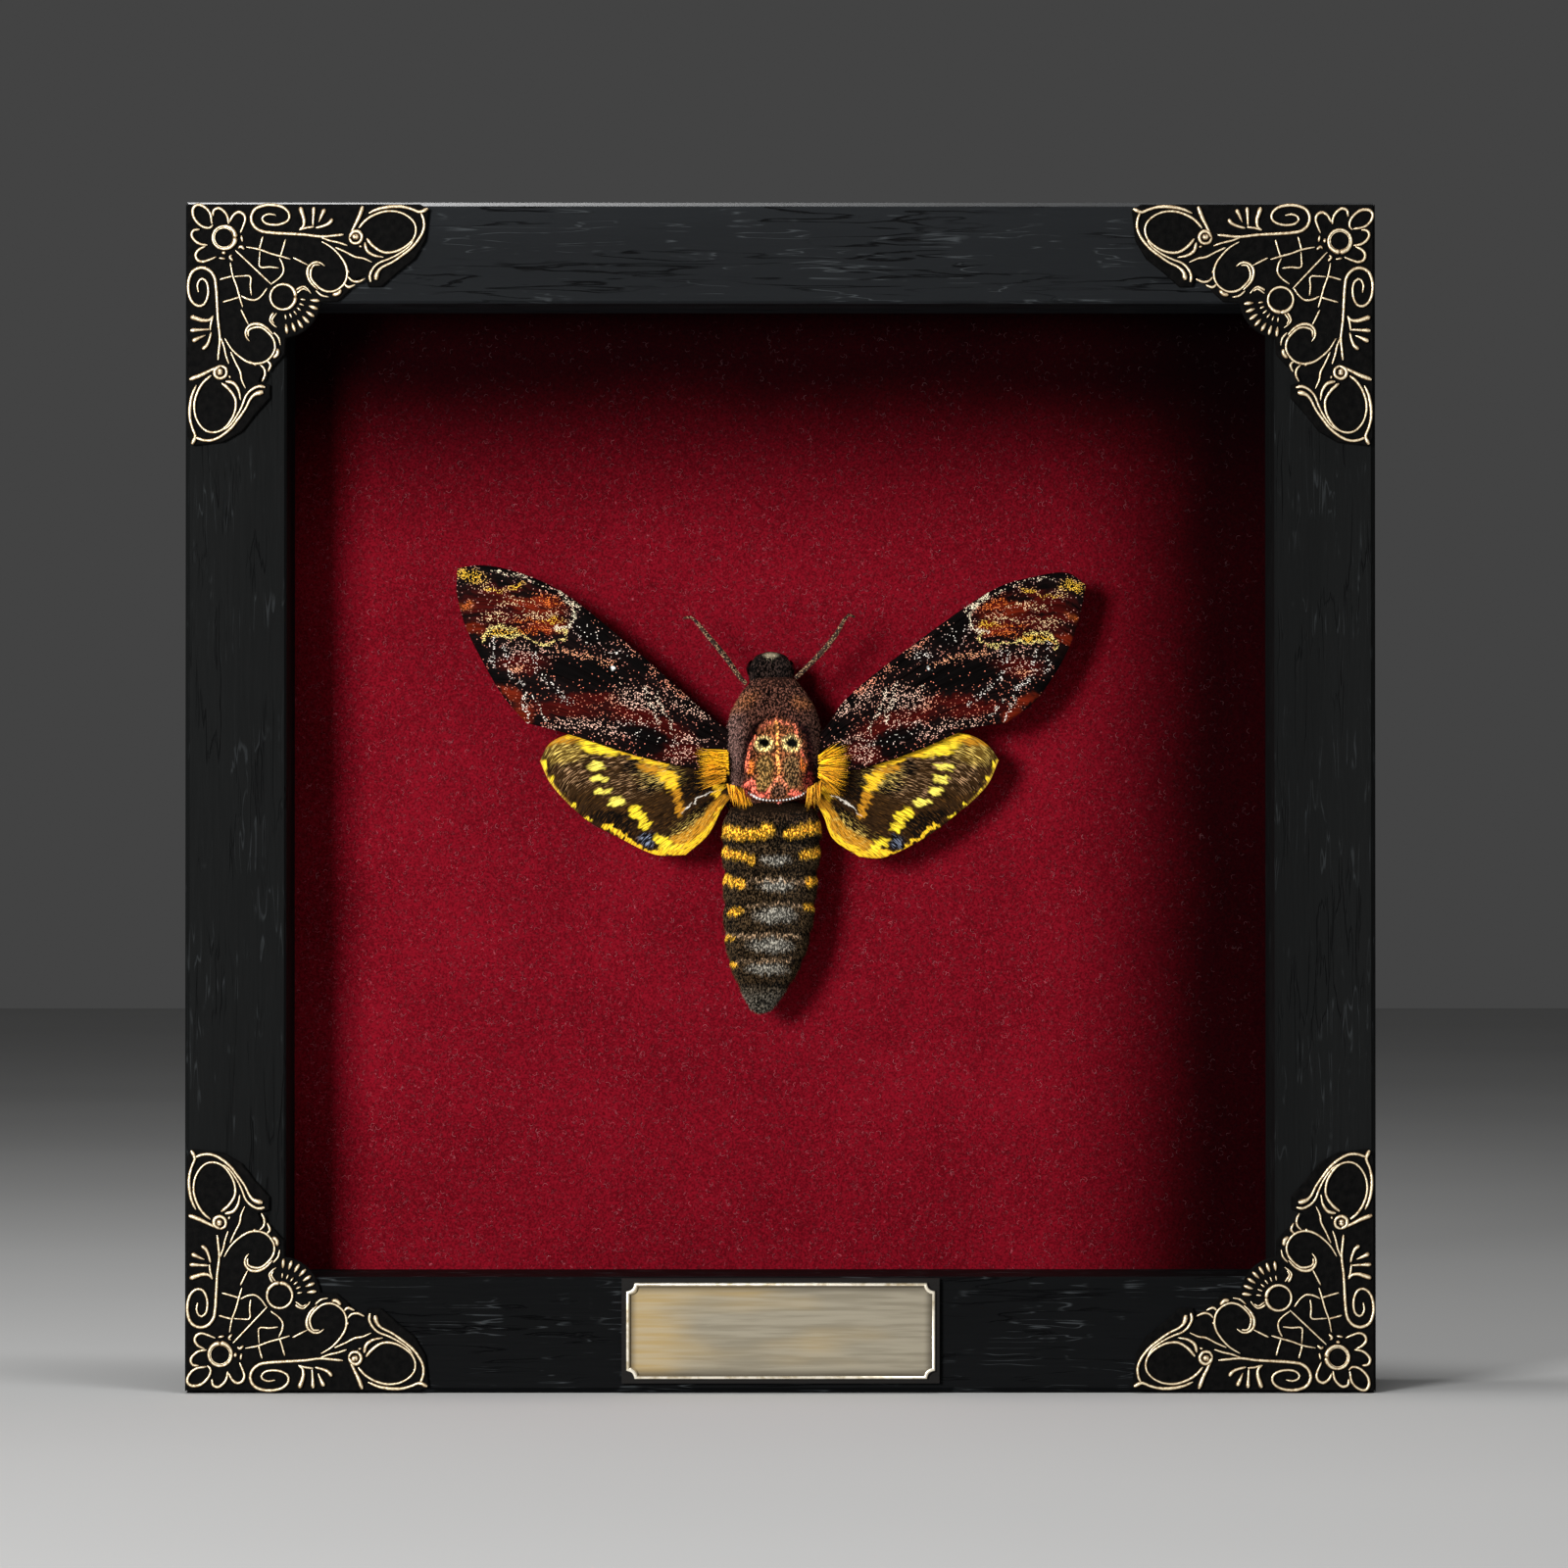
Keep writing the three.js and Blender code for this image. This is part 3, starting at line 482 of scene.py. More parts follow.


# Bronze corners.
# Four castings in the shape of filigree. Their plates are near black, dark patina together with painted
# shade for the openwork. The strokes are pale where they face the front, rubbed bright with a painted
# highlight, and dark on their sides, with patina and painted shade. Each casting has a flower in its
# corner, scrolls along two arms, and a sun with a fan over the corner of the opening.
PLATE_THICK = 0.6 * MM
STROKE_RISE, STROKE_LIFT = 0.8 * MM, 0.3 * MM  # how high a stroke may stand, and a slim one's middle
PLATE_TOP = FRONT - 0.3 * MM - PLATE_THICK
HALF_FRAME = 100
PHOTO_CORNER = (188.5, 206.2)  # the pixel of the frame's top left corner
STROKE_SLIM = 0.9
STROKE_END = 0.55  # how thick a stroke is at its ends, as a share of the width there

cast = Tree("cast_strokes", Material="Material", Sides="Int")
around = {"Resolution": cast.source["Sides"], "Radius": 1.0}
stroke_round = cast.node("GeometryNodeCurvePrimitiveCircle", None, around).outputs[0]
thick = cast.node("GeometryNodeInputRadius").outputs[0]
cast.finish(cast.swept(cast.source["Geometry"], stroke_round, Scale=thick))


def smooth_line(points, shares):
    """Places at shares of the length of a smooth curve through the points."""
    p = np.array(points, float)
    p = np.vstack([2 * p[0] - p[1], p, 2 * p[-1] - p[-2]])
    gaps = np.maximum(np.linalg.norm(np.diff(p, axis=0), axis=1) ** 0.5, 1e-6)
    fine = []
    u = np.linspace(0, 1, 24, endpoint=False)[:, None]
    for i in range(1, len(p) - 2):
        before, here, after = gaps[i - 1], gaps[i], gaps[i + 1]
        back, rise, ahead = p[i] - p[i - 1], p[i + 1] - p[i], p[i + 2] - p[i + 1]
        leave = (back / before - (back + rise) / (before + here) + rise / here) * here
        reach = (rise / here - (rise + ahead) / (here + after) + ahead / after) * here
        square, cube = 3 * rise - 2 * leave - reach, leave + reach - 2 * rise
        fine.append(p[i] + leave * u + square * u**2 + cube * u**3)
    fine = np.vstack([*fine, p[-2:-1]])
    length = np.concatenate([[0], np.cumsum(np.linalg.norm(np.diff(fine, axis=0), axis=1))])
    wanted = np.asarray(shares) * length[-1]
    return np.stack([np.interp(wanted, length, fine[:, k]) for k in range(p.shape[1])], -1)


def new_curve(name):
    made = bpy.data.curves.new(name, "CURVE")
    made.dimensions = "3D"
    return made


def add_line(curve, places, radii):
    """Adds a line through the places to a curve, with its radius at each."""
    line = curve.splines.new("POLY")
    line.points.add(len(places) - 1)
    for point, place, radius in zip(line.points, places, radii):
        point.co = (*place, 1)
        point.radius = radius
    return line


# Strokes of one arm in pixels of the photograph's top left corner: points, and half widths along them.
ARM_STROKES = [
    ([(217, 221), (218, 215), (223, 213), (229, 217), (232, 222), (233, 229)], (1.6, 2.0, 1.8, 1.5)),
    ([(234, 227), (238, 220), (243, 217), (248, 219), (250, 224), (248, 231), (245, 238)],
        (1.4, 2.0, 2.0, 1.6, 1.2)),
    ([(246, 241), (247, 247)], (1.4, 1.6, 1.2)),
    ([(243, 254), (245, 252), (249, 255)], (1.3, 2.0, 1.5)),
    ([(281, 220), (273, 219), (267, 223), (270, 228), (278, 230), (287, 229), (294, 225), (295, 219),
        (290, 213), (281, 210), (270, 210), (260, 214), (256, 222), (258, 230), (265, 236), (276, 238),
        (292, 239), (310, 240), (328, 242), (340, 241), (350, 240)],
        (1.3, 1.6, 1.7, 2.0, 2.2, 2.2, 2.1, 1.9, 1.7, 1.7)),
    ([(326, 242), (336, 246), (345, 248), (354, 251)], (1.2, 1.5, 1.2)),
    ([(306, 212), (308, 218), (310, 225), (309, 232), (305, 235)], (3.4, 3.0, 2.6, 2.0, 1.4)),
    ([(320, 212), (319.5, 221), (319, 231)], (3.2, 1.8, 1.4)),
    ([(331, 214), (328, 220), (325, 227)], (3.5, 2.2, 0.8)),
    ([(339, 224), (336, 228), (330, 231), (322, 233)], (3.0, 2.2, 1.8, 1.6)),
    ([(305, 235), (312, 233), (320, 232)], (1.4, 1.5, 1.4)),
    ([(370, 211), (366, 222), (361, 232), (356, 243)], (3.0, 2.8, 2.0, 1.6)),
    ([(356, 243), (359, 248), (366, 248), (369, 242), (366, 237), (360, 237), (356, 243)],
        (1.8, 2.0, 2.2, 2.4, 2.6, 2.0)),
    ([(359, 243), (362, 242), (366, 243)], (3.4, 4.4, 3.4)),
    ([(366, 251.5), (369, 252.5)], (1.2, 1.5, 1.1)),
    ([(366, 233), (372, 226), (381, 220), (394, 216), (407, 217), (417, 222), (423, 229), (424, 237),
        (421, 245), (412, 253), (402, 257.5), (391, 258), (382, 253), (377, 248), (374, 244)],
        (1.8, 1.8, 1.7, 1.4, 1.5, 1.6, 1.7, 1.9, 2.3)),
    ([(372, 248), (374, 256), (381, 261), (391, 263)], (2.2, 2.4, 1.8, 1.0)),
    ([(376, 218), (385, 214), (398, 211.5), (410, 211.5), (420, 214), (428, 217), (436, 213.5)],
        (1.4, 2.0, 2.4, 2.2, 1.8, 1.9, 3.0)),
    ([(429, 217), (432, 225), (432, 234), (428, 243), (420, 253), (410, 261), (400, 268), (390, 273),
        (385, 278), (383, 286)], (1.8, 1.9, 2.0, 2.0, 1.9, 1.6, 1.8, 4.2)),
    ([(424, 240), (418, 251), (406, 260), (396, 265), (386, 269), (380, 275), (377, 282), (378, 288)],
        (1.0, 1.3, 1.4, 1.4, 1.5, 1.6, 1.9, 2.3)),
    ([(328, 247), (338, 253), (346, 261), (352, 270), (354, 279), (352, 288), (347, 294), (339, 298),
        (330, 297), (322, 291), (317, 284), (317, 277), (320, 271), (326, 271)],
        (1.0, 1.3, 1.5, 1.7, 1.6, 1.5, 1.6, 1.7, 1.6, 1.3)),
    ([(324, 296), (317, 289), (313.5, 281), (314.5, 273), (320, 268.5), (326, 268.5), (331, 272)],
        (1.0, 1.6, 2.0, 2.1, 1.8, 1.5, 0.9)),
    ([(322, 297), (328, 302), (335, 303.5)], (1.2, 1.4, 0.8)),
    ([(339, 301), (344, 300.5), (348, 296.5)], (2.4, 2.8, 2.3)),
    ([(353, 276), (356, 279)], (1.4, 2.0, 1.4)),
    ([(355, 283), (359, 287), (365, 288), (372, 285)], (1.2, 1.6, 1.7, 1.2)),
    ([(351, 290), (355, 293.5), (362, 291)], (1.3, 1.9, 1.2)),
    ([(342, 253), (353, 258), (363, 263), (370, 264), (379, 268)], (1.3, 1.3, 1.6, 0.9)),
    ([(251, 252.5), (264, 255), (275, 259), (286, 262), (296, 265)], (1.0, 1.3, 1.3, 1.4, 1.2)),
    ([(299, 263.5), (306, 267), (314, 271)], (1.3, 1.4, 0.8)),
    ([(268, 242), (266, 249), (264.5, 255)], (1.5, 1.2, 1.5)),
    ([(265, 257), (264.5, 265), (265, 273), (275, 273), (284, 274)], (0.8, 1.1, 1.3, 1.3, 1.1)),
    ([(291, 245), (288.5, 254), (286, 262)], (1.4, 1.2, 1.4)),
    ([(285, 264), (288, 270), (289, 278), (285, 284), (277, 290)], (1.2, 1.5, 1.4, 1.1, 1.3)),
    ([(302, 296.5), (306, 294), (310, 293), (314, 296), (317, 300)], (1.9, 1.6, 1.3, 1.1, 0.8)),
    ([(279.5, 331), (277.5, 327), (282, 320)], (1.0, 1.4, 1.0)),
]
MIDLINE_STROKES = [
    ([(216, 229), (214, 218), (208, 211.5), (201, 209.5), (197, 213), (197, 221), (201.5, 228),
        (208, 232.5), (214, 233), (217, 230)], (1.5, 1.8, 2.2, 1.8, 1.5)),
    ([(240, 256), (258, 273), (277, 291)], (1.3, 1.3, 1.2)),
    ([(226, 258), (230, 259)], (1.8, 2.2, 1.8)),
]
FLOWER, SUN = (228.5, 243.0), (288.5, 303.5)  # centres in the same pixels
RINGS = [(FLOWER, 11.6, 1.9), (FLOWER, 9.9, 0.9), (SUN, 12.9, 1.6)]
SHORT_RAYS, LONG_RAYS = 6, 7
RAY_SHAPES = {SHORT_RAYS: ((18, 23), (1.0, 1.3, 0.9)), LONG_RAYS: ((28, 37.5), (1.2, 2.6, 2.0))}
PLATE_EDGE = [
    (0.4, 0.4), (39.5, 0.4), (41, 1.4), (40.4, 6.5), (38.6, 9.6), (35.8, 11.8), (33, 14.3),
    (30.8, 14.3), (30.2, 12.4), (28.4, 13.2), (27.6, 15), (25.6, 16.8), (23.1, 16.9),
]
SUN_MM, FAN_RADIUS = 16.05, 6.9  # the sun's distance from both edges and the plate's radius round it
PLATE_BEVEL = 0.2


def corner_place(across, down, quarter):
    """X and Z, in metres, of a place across and down from the top left corner, turned to another corner."""
    turn = quarter * math.pi / 2
    x, z = across - HALF_FRAME, HALF_FRAME - down
    turned = x * math.cos(turn) + z * math.sin(turn), z * math.cos(turn) - x * math.sin(turn)
    return turned[0] * MM, (turned[1] + HALF_FRAME) * MM


def corner_strokes(name, quarter):
    """All strokes of one corner as one curve object's data."""
    curve = new_curve(name)
    left, top = PHOTO_CORNER

    def put(points, widths):
        shares = np.linspace(0, 1, max(4, 3 * len(points)))
        thick = np.interp(shares, np.linspace(0, 1, len(widths)), widths)
        thick[[0, -1]] *= STROKE_END
        radii = STROKE_SLIM * thick / PHOTO_SCALE
        places = []
        for (px, py), radius in zip(smooth_line(points, shares), radii):
            x, z = corner_place((px - left) / PIXELS_PER_MM, (py - top) / PIXELS_PER_MM, quarter)
            places.append((x, PLATE_TOP - min(STROKE_LIFT, STROKE_RISE - radius), z))
        add_line(curve, places, radii)

    def swap(points):
        """The same points on the other arm."""
        return [(left + y - top, top + x - left) for x, y in points]

    for (cx, cy), radius, width in RINGS:
        around = np.linspace(0, 2 * math.pi, 17)
        even = (width / STROKE_END, width, width, width, width / STROKE_END)
        put([(cx + radius * math.cos(a), cy + radius * math.sin(a)) for a in around], even)
    for count, (ends, widths) in RAY_SHAPES.items():
        for i in range(count):
            a = (i + 0.5) / count * math.pi / 2
            put([(SUN[0] + r * math.cos(a), SUN[1] + r * math.sin(a)) for r in ends], widths)
    for points, widths in MIDLINE_STROKES:
        put(points, widths)
    for points, widths in ARM_STROKES:
        put(points, widths)
        put(swap(points), widths)
    return curve


def corner_plate(name, quarter):
    """The thin plate under a corner's strokes, bevelled round its edge."""
    turns = np.linspace(0, math.pi / 2, 13)[1:-1]
    fan = [(SUN_MM + FAN_RADIUS * math.cos(a), SUN_MM + FAN_RADIUS * math.sin(a)) for a in turns]
    edge = np.array(PLATE_EDGE + fan + [(d, a) for a, d in PLATE_EDGE[::-1]][:-1])
    tangent = np.roll(edge, -1, 0) - np.roll(edge, 1, 0)
    inward = np.stack([-tangent[:, 1], tangent[:, 0]], -1) / np.linalg.norm(tangent, axis=1)[:, None]
    levels = [(PLATE_TOP, PLATE_BEVEL), (PLATE_TOP + PLATE_BEVEL * MM, 0), (PLATE_TOP + PLATE_THICK, 0)]
    points, count = [], len(edge)
    for y, inset in levels:
        for across, down in edge + inward * inset:
            x, z = corner_place(across, down, quarter)
            points.append((x, y, z))
    faces = [tuple(range(count)), tuple(range(3 * count - 1, 2 * count - 1, -1))]
    for ring in (0, count):
        for i in range(count):
            j = (i + 1) % count
            faces.append((ring + j, ring + i, ring + count + i, ring + count + j))
    mesh = bpy.data.meshes.new(name)
    mesh.from_pydata(points, [], faces)
    return mesh


bronze = Finish("corner_bronze", 0.4, 0.4, Specular_IOR_Level=0.3)
grit = bronze.noise(1900, 3)
outward = bronze.node("ShaderNodeTexCoord", output="Normal")
# Painted light: strokes are paler where they face the front and darker on their sides, partly wear and
# patina.
facing_wear_and_shade = bronze.part(outward, "Y") * -1 + (grit - 0.5) * 0.5
BRONZE_TINTS = {0.3: (20, 16, 13), 0.6: (84, 66, 48), 0.84: (176, 146, 106), 0.97: (252, 236, 200)}
bronze.tint(facing_wear_and_shade, *((place, linear(*tint)) for place, tint in BRONZE_TINTS.items()))
bronze.feed("Roughness", 0.6 - bronze.step(facing_wear_and_shade, 0.5, 1.0) * 0.28)
bronze.bump(grit, 0.1 * MM)
# The plate's near black is dark patina and painted shade for the openwork's shadows.
black_bronze = Finish("recess_bronze", 0.75, Specular_IOR_Level=0.05)
plate_mottle = black_bronze.noise(900, 3)
black_bronze.tint(plate_mottle, (0.35, linear(4, 4, 4)), (0.7, linear(13, 12, 11)))
black_bronze.bump(plate_mottle, 0.15 * MM)
CORNERS = ("corner_top_left", "corner_bottom_left", "corner_bottom_right", "corner_top_right")
for quarter, name in enumerate(CORNERS):
    strokes = cast.run(corner_strokes(name, quarter), name + "_filigree", Material=bronze.material, Sides=8)
    strokes.shade_smooth()
    add_piece(name + "_filigree", strokes, bronze, "bronze", [name])
    add_piece(name + "_plate", corner_plate(name + "_plate", quarter), black_bronze, "bronze")


# Plaque.
# A bare bronze plate with a bright raised rim whose corners are notched. The face is brushed lengthwise,
# darkened round its edge, and has kept its golden colour in patches. The flange outside the rim is black.
(plaque_left, plaque_face, plaque_low), (plaque_right, _, plaque_high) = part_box("plaque")
plaque_height = (plaque_low + plaque_high) / 2
half_long, half_tall = (plaque_right - plaque_left) / 2, (plaque_high - plaque_low) / 2
RIM_INSET, RIM_NOTCH, RIM_RADIUS, RIM_PROUD = 1.0 * MM, 1.35 * MM, 0.42 * MM, 0.12 * MM

plaque_bronze = Finish("plaque_bronze", 0.42, 0.25, Specular_IOR_Level=0.2)
brush = plaque_bronze.noise(1400, 3, (0.05, 1, 1))
patch = plaque_bronze.noise(70, 2, (0.4, 1, 1.4))
golden = plaque_bronze.step(patch - plaque_bronze.axis("X") * 9, 0.5, 0.72)
face = plaque_bronze.mix(golden * 0.75, linear(132, 124, 106), linear(176, 150, 98))
face = plaque_bronze.mix(plaque_bronze.step(brush, 0.35, 0.65) * 0.4, face, linear(176, 168, 148))
to_side = half_long - RIM_INSET - abs(plaque_bronze.axis("X"))
to_end = half_tall - RIM_INSET - abs(plaque_bronze.axis("Z") - plaque_height)
near = to_side.least(to_end)
dim = 1 - plaque_bronze.step(near, 0.2 * MM, 1.8 * MM)
face = plaque_bronze.mix(dim * 0.75, face, linear(66, 58, 45))
notched = (to_side * to_side + to_end * to_end) < RIM_NOTCH**2
flange = (1 - plaque_bronze.step(near, -0.05 * MM, 0.05 * MM)).most(notched)
face = plaque_bronze.mix(flange, face, linear(16, 13, 11))
plaque_bronze.feed("Base Color", face)
plaque_bronze.feed("Roughness", 0.45 + brush * 0.22)
plaque_bronze.bump(brush, 0.04 * MM)
give_finish("plaque", plaque_bronze)

rim_places = []
for side_x, side_z, start in ((1, -1, 180), (1, 1, 270), (-1, 1, 0), (-1, -1, 90)):
    for k in range(7):
        a = math.radians(start - 90 * k / 6)
        x = side_x * (half_long - RIM_INSET) + RIM_NOTCH * math.cos(a)
        z = side_z * (half_tall - RIM_INSET) + RIM_NOTCH * math.sin(a)
        rim_places.append((x, plaque_face + RIM_RADIUS - RIM_PROUD, plaque_height + z))
rim_curve = new_curve("plaque_rim")
add_line(rim_curve, rim_places, [RIM_RADIUS] * len(rim_places)).use_cyclic_u = True
rim_bronze = Finish("rim_bronze", 0.3, 0.5)
wear = rim_bronze.noise(600, 3)
rim_bronze.tint(wear, (0.3, linear(196, 178, 142)), (0.55, linear(255, 246, 226)))
rim_bronze.bump(wear, 0.06 * MM)
rim_mesh = cast.run(rim_curve, "plaque_rim", Material=rim_bronze.material, Sides=12)
rim_mesh.shade_smooth()
add_piece("plaque_rim", rim_mesh, rim_bronze, "plaque_bronze")


# Wings.
# Thin stiff sheets, closed over both faces, with raised veins and fine wrinkles along them. The markings
# are painted by place on the sheet. Loose bright scales dust the forewings, and hairs streak the hindwings.
MOTH = Vector((-1.1 * MM, FRONT + 11.5 * MM, 110.4 * MM))  # middle of the thorax, in the forewings' plane
MOTH_PIXEL = (790, 750)  # where the photograph shows it
WING_PIXELS = 6.017  # pixels for each millimetre at the wings' depth
SPAN_HALF = 53.5
WING_THICK = 0.6
TIP_BACK, ARCH = 1.6, 0.8  # how far the tips lie back, and the wing's middle forward
HINDWING_BEHIND = 1.6
VEIN_WIDTH, VEIN_RISE = 0.011, 0.3  # a share of the wing's width, and millimetres

LEFT_FOREWING = [
    [(-3, -2), (-10, 2.8), (-23.3, 14.5), (-36.6, 24.9), (-44.9, 28.3), (-50, 29.1), (-53.7, 28.6)],
    [(-53.7, 28.6), (-53.9, 24.9), (-52.5, 19.1), (-49.9, 13.6), (-45.7, 6.5), (-42, 2.3)],
    [(-3, -6.2), (-13.3, -5.5), (-23.3, -3.3), (-35.2, 0.5), (-42, 2.3)],
]
RIGHT_FOREWING = [
    [(3, -2), (8, 0.8), (12, 6.1), (24.9, 16.5), (38.2, 25.4), (43.2, 26.9), (49.9, 27.8), (53, 25.8)],
    [(53, 25.8), (52.2, 21.6), (49.9, 14.6), (44.4, 6.1), (39.4, 2.3)],
    [(3, -6.2), (13.3, -5.8), (24.1, -2.5), (33.2, 1.3), (39.4, 2.3)],
]
LEFT_HINDWING = [
    [(-4, -1), (-15, 0.6), (-27, 1.2), (-34.5, 0.5), (-38.2, -1.3), (-39.7, -4.2)],
    [(-39.7, -4.2), (-37.9, -8), (-31.6, -14.3), (-26.6, -17), (-19.9, -20.1), (-15, -20.1)],
    [(-5, -8), (-8.6, -12), (-11.1, -16.6), (-15, -20.1)],
]
RIGHT_HINDWING = [
    [(4, -1), (15, 0.6), (26, 1), (33.2, 0.3), (36.6, -1.7), (38.2, -4)],
    [(38.2, -4), (36.2, -8.3), (29.9, -14.1), (24.9, -17.6), (18.3, -20.6), (14.5, -20.4)],
    [(5, -8), (8.2, -13), (10, -17.3), (14.5, -20.4)],
]
FOREWING_VEINS = [0.05, 0.2, 0.33, 0.45, 0.57, 0.69, 0.81, 0.93]
HINDWING_VEINS = [0.08, 0.24, 0.38, 0.52, 0.66, 0.8, 0.93]


def wing_sheet(edges, s, t):
    """Places on a wing, in millimetres, for shares from front edge to rear edge and from root to tip."""
    front, outer, rear = edges
    root_front, root_rear = np.array(front[0], float), np.array(rear[0], float)
    tip, hind = np.array(front[-1], float), np.array(rear[-1], float)
    s, t = s[..., None], t[..., None]
    along = smooth_line(front, t[..., 0]) * (1 - s) + smooth_line(rear, t[..., 0]) * s
    across = (root_front * (1 - s) + root_rear * s) * (1 - t) + smooth_line(outer, s[..., 0]) * t
    corners = (root_front * (1 - s) + root_rear * s) * (1 - t) + (tip * (1 - s) + hind * s) * t
    return along + across - corners


def grain(x, y, seed):
    """Smooth noise from -1 to 1 with features one unit across."""
    lattice = np.random.default_rng(seed).uniform(-1, 1, (64, 64))
    ix, iy = np.floor(x).astype(int), np.floor(y).astype(int)
    fx, fy = x - ix, y - iy
    fx, fy = fx * fx * (3 - 2 * fx), fy * fy * (3 - 2 * fy)
    near = lattice[iy % 64, ix % 64] * (1 - fx) + lattice[iy % 64, (ix + 1) % 64] * fx
    far = lattice[(iy + 1) % 64, ix % 64] * (1 - fx) + lattice[(iy + 1) % 64, (ix + 1) % 64] * fx
    return near * (1 - fy) + far * fy


def ragged(x, y, amount, seed):
    """The same places, pushed about a little, so that a mark's edge comes out ragged."""
    coarse = [grain(x / 6, y / 6, seed + k) for k in (0, 1)]
    fine = [grain(x / 2.2, y / 2.2, seed + 7 + k) for k in (0, 1)]
    return x + amount * (coarse[0] + 0.6 * fine[0]), y + amount * (coarse[1] + 0.6 * fine[1])


def inside(x, y, mark, edge=0.3):
    """1 inside a mark, 0 outside: (x, y, half length, half width, turn) or (points, half width)."""
    if len(mark) == 2:
        points, width = mark
        far = np.full(x.shape, 1e9)
        for (ax, ay), (bx, by) in zip(points, points[1:]):
            dx, dy = bx - ax, by - ay
            share = np.clip(((x - ax) * dx + (y - ay) * dy) / (dx * dx + dy * dy), 0, 1)
            far = np.minimum(far, np.hypot(x - ax - share * dx, y - ay - share * dy) / width)
    else:
        cx, cy, long, wide, turn = mark
        a = math.radians(turn)
        along = (x - cx) * math.cos(a) + (y - cy) * math.sin(a)
        aside = (y - cy) * math.cos(a) - (x - cx) * math.sin(a)
        far = np.hypot(along / long, aside / wide)
    return np.clip((1 + edge - far) / (2 * edge), 0, 1)


def inside_any(x, y, marks, edge=0.3):
    return np.max([inside(x, y, mark, edge) for mark in marks], axis=0)


def over(colour, tint, mask):
    """One colour laid over another through a mask."""
    return colour * (1 - mask[..., None]) + np.asarray(tint) * mask[..., None]


def lay(colour, x, y, layers, edge=0.3):
    """Marks laid over a colour in turn: each layer has its tint, how fully it covers, and its marks."""
    for tint, full, marks in layers:
        colour = over(colour, linear(*tint), full * inside_any(x, y, marks, edge))
    return colour


def strew(tint, share, x, y, layers, edge):
    """The colour of loose scales or hairs and their share, from the plain ones and the layers over them."""
    colour, share = np.ones((*x.shape, 3)) * linear(*tint), np.full(x.shape, share)
    for tint, full, marks in layers:
        cover = inside_any(x, y, marks, edge)
        colour = over(colour, linear(*tint), cover)
        share = share * (1 - cover) + full * cover
    return colour, share


def to_pixel(u, w):
    """The photograph's pixel of a place on the moth, in millimetres from its middle."""
    return MOTH_PIXEL[0] + u * WING_PIXELS, MOTH_PIXEL[1] - w * WING_PIXELS


def from_pixel(px, py):
    """The place on the moth, in millimetres from its middle, that a pixel of the photograph shows."""
    return (px - MOTH_PIXEL[0]) / WING_PIXELS, (MOTH_PIXEL[1] - py) / WING_PIXELS


# Marks of the forewing, in pixels of the photograph's left one. The ground first, then the bright dust.
FOREWING_GROUND = [
    ((66, 10, 7), 1.0, [(520, 618, 50, 22, 5), (535, 675, 25, 10, 0), (575, 722, 35, 8, 5),
        (600, 711, 30, 6, 0), (660, 735, 45, 10, 20), (690, 765, 24, 10, 0)]),
    ((104, 28, 10), 0.95, [(560, 638, 20, 7, 0), (545, 615, 28, 9, 15), (533, 728, 12, 9, 45),
        (520, 706, 16, 5, 35), (480, 640, 14, 5, 0)]),
    ((120, 56, 22), 0.7, [(475, 616, 10, 4, 0)]),
    ((6, 4, 4), 0.95, [(512, 592, 9, 4, 15), (500, 578, 16, 3, 5), (535, 605, 16, 4, 0),
        (555, 597, 16, 4, 30), (606, 640, 22, 14, 45), (600, 685, 48, 14, 8), (505, 690, 12, 8, 35),
        (488, 668, 8, 10, 60), (660, 748, 25, 8, 15), (703, 717, 5, 4, 0), (722, 745, 12, 7, 0),
        (664, 762, 16, 8, 0), (652, 676, 14, 7, 35)]),
]
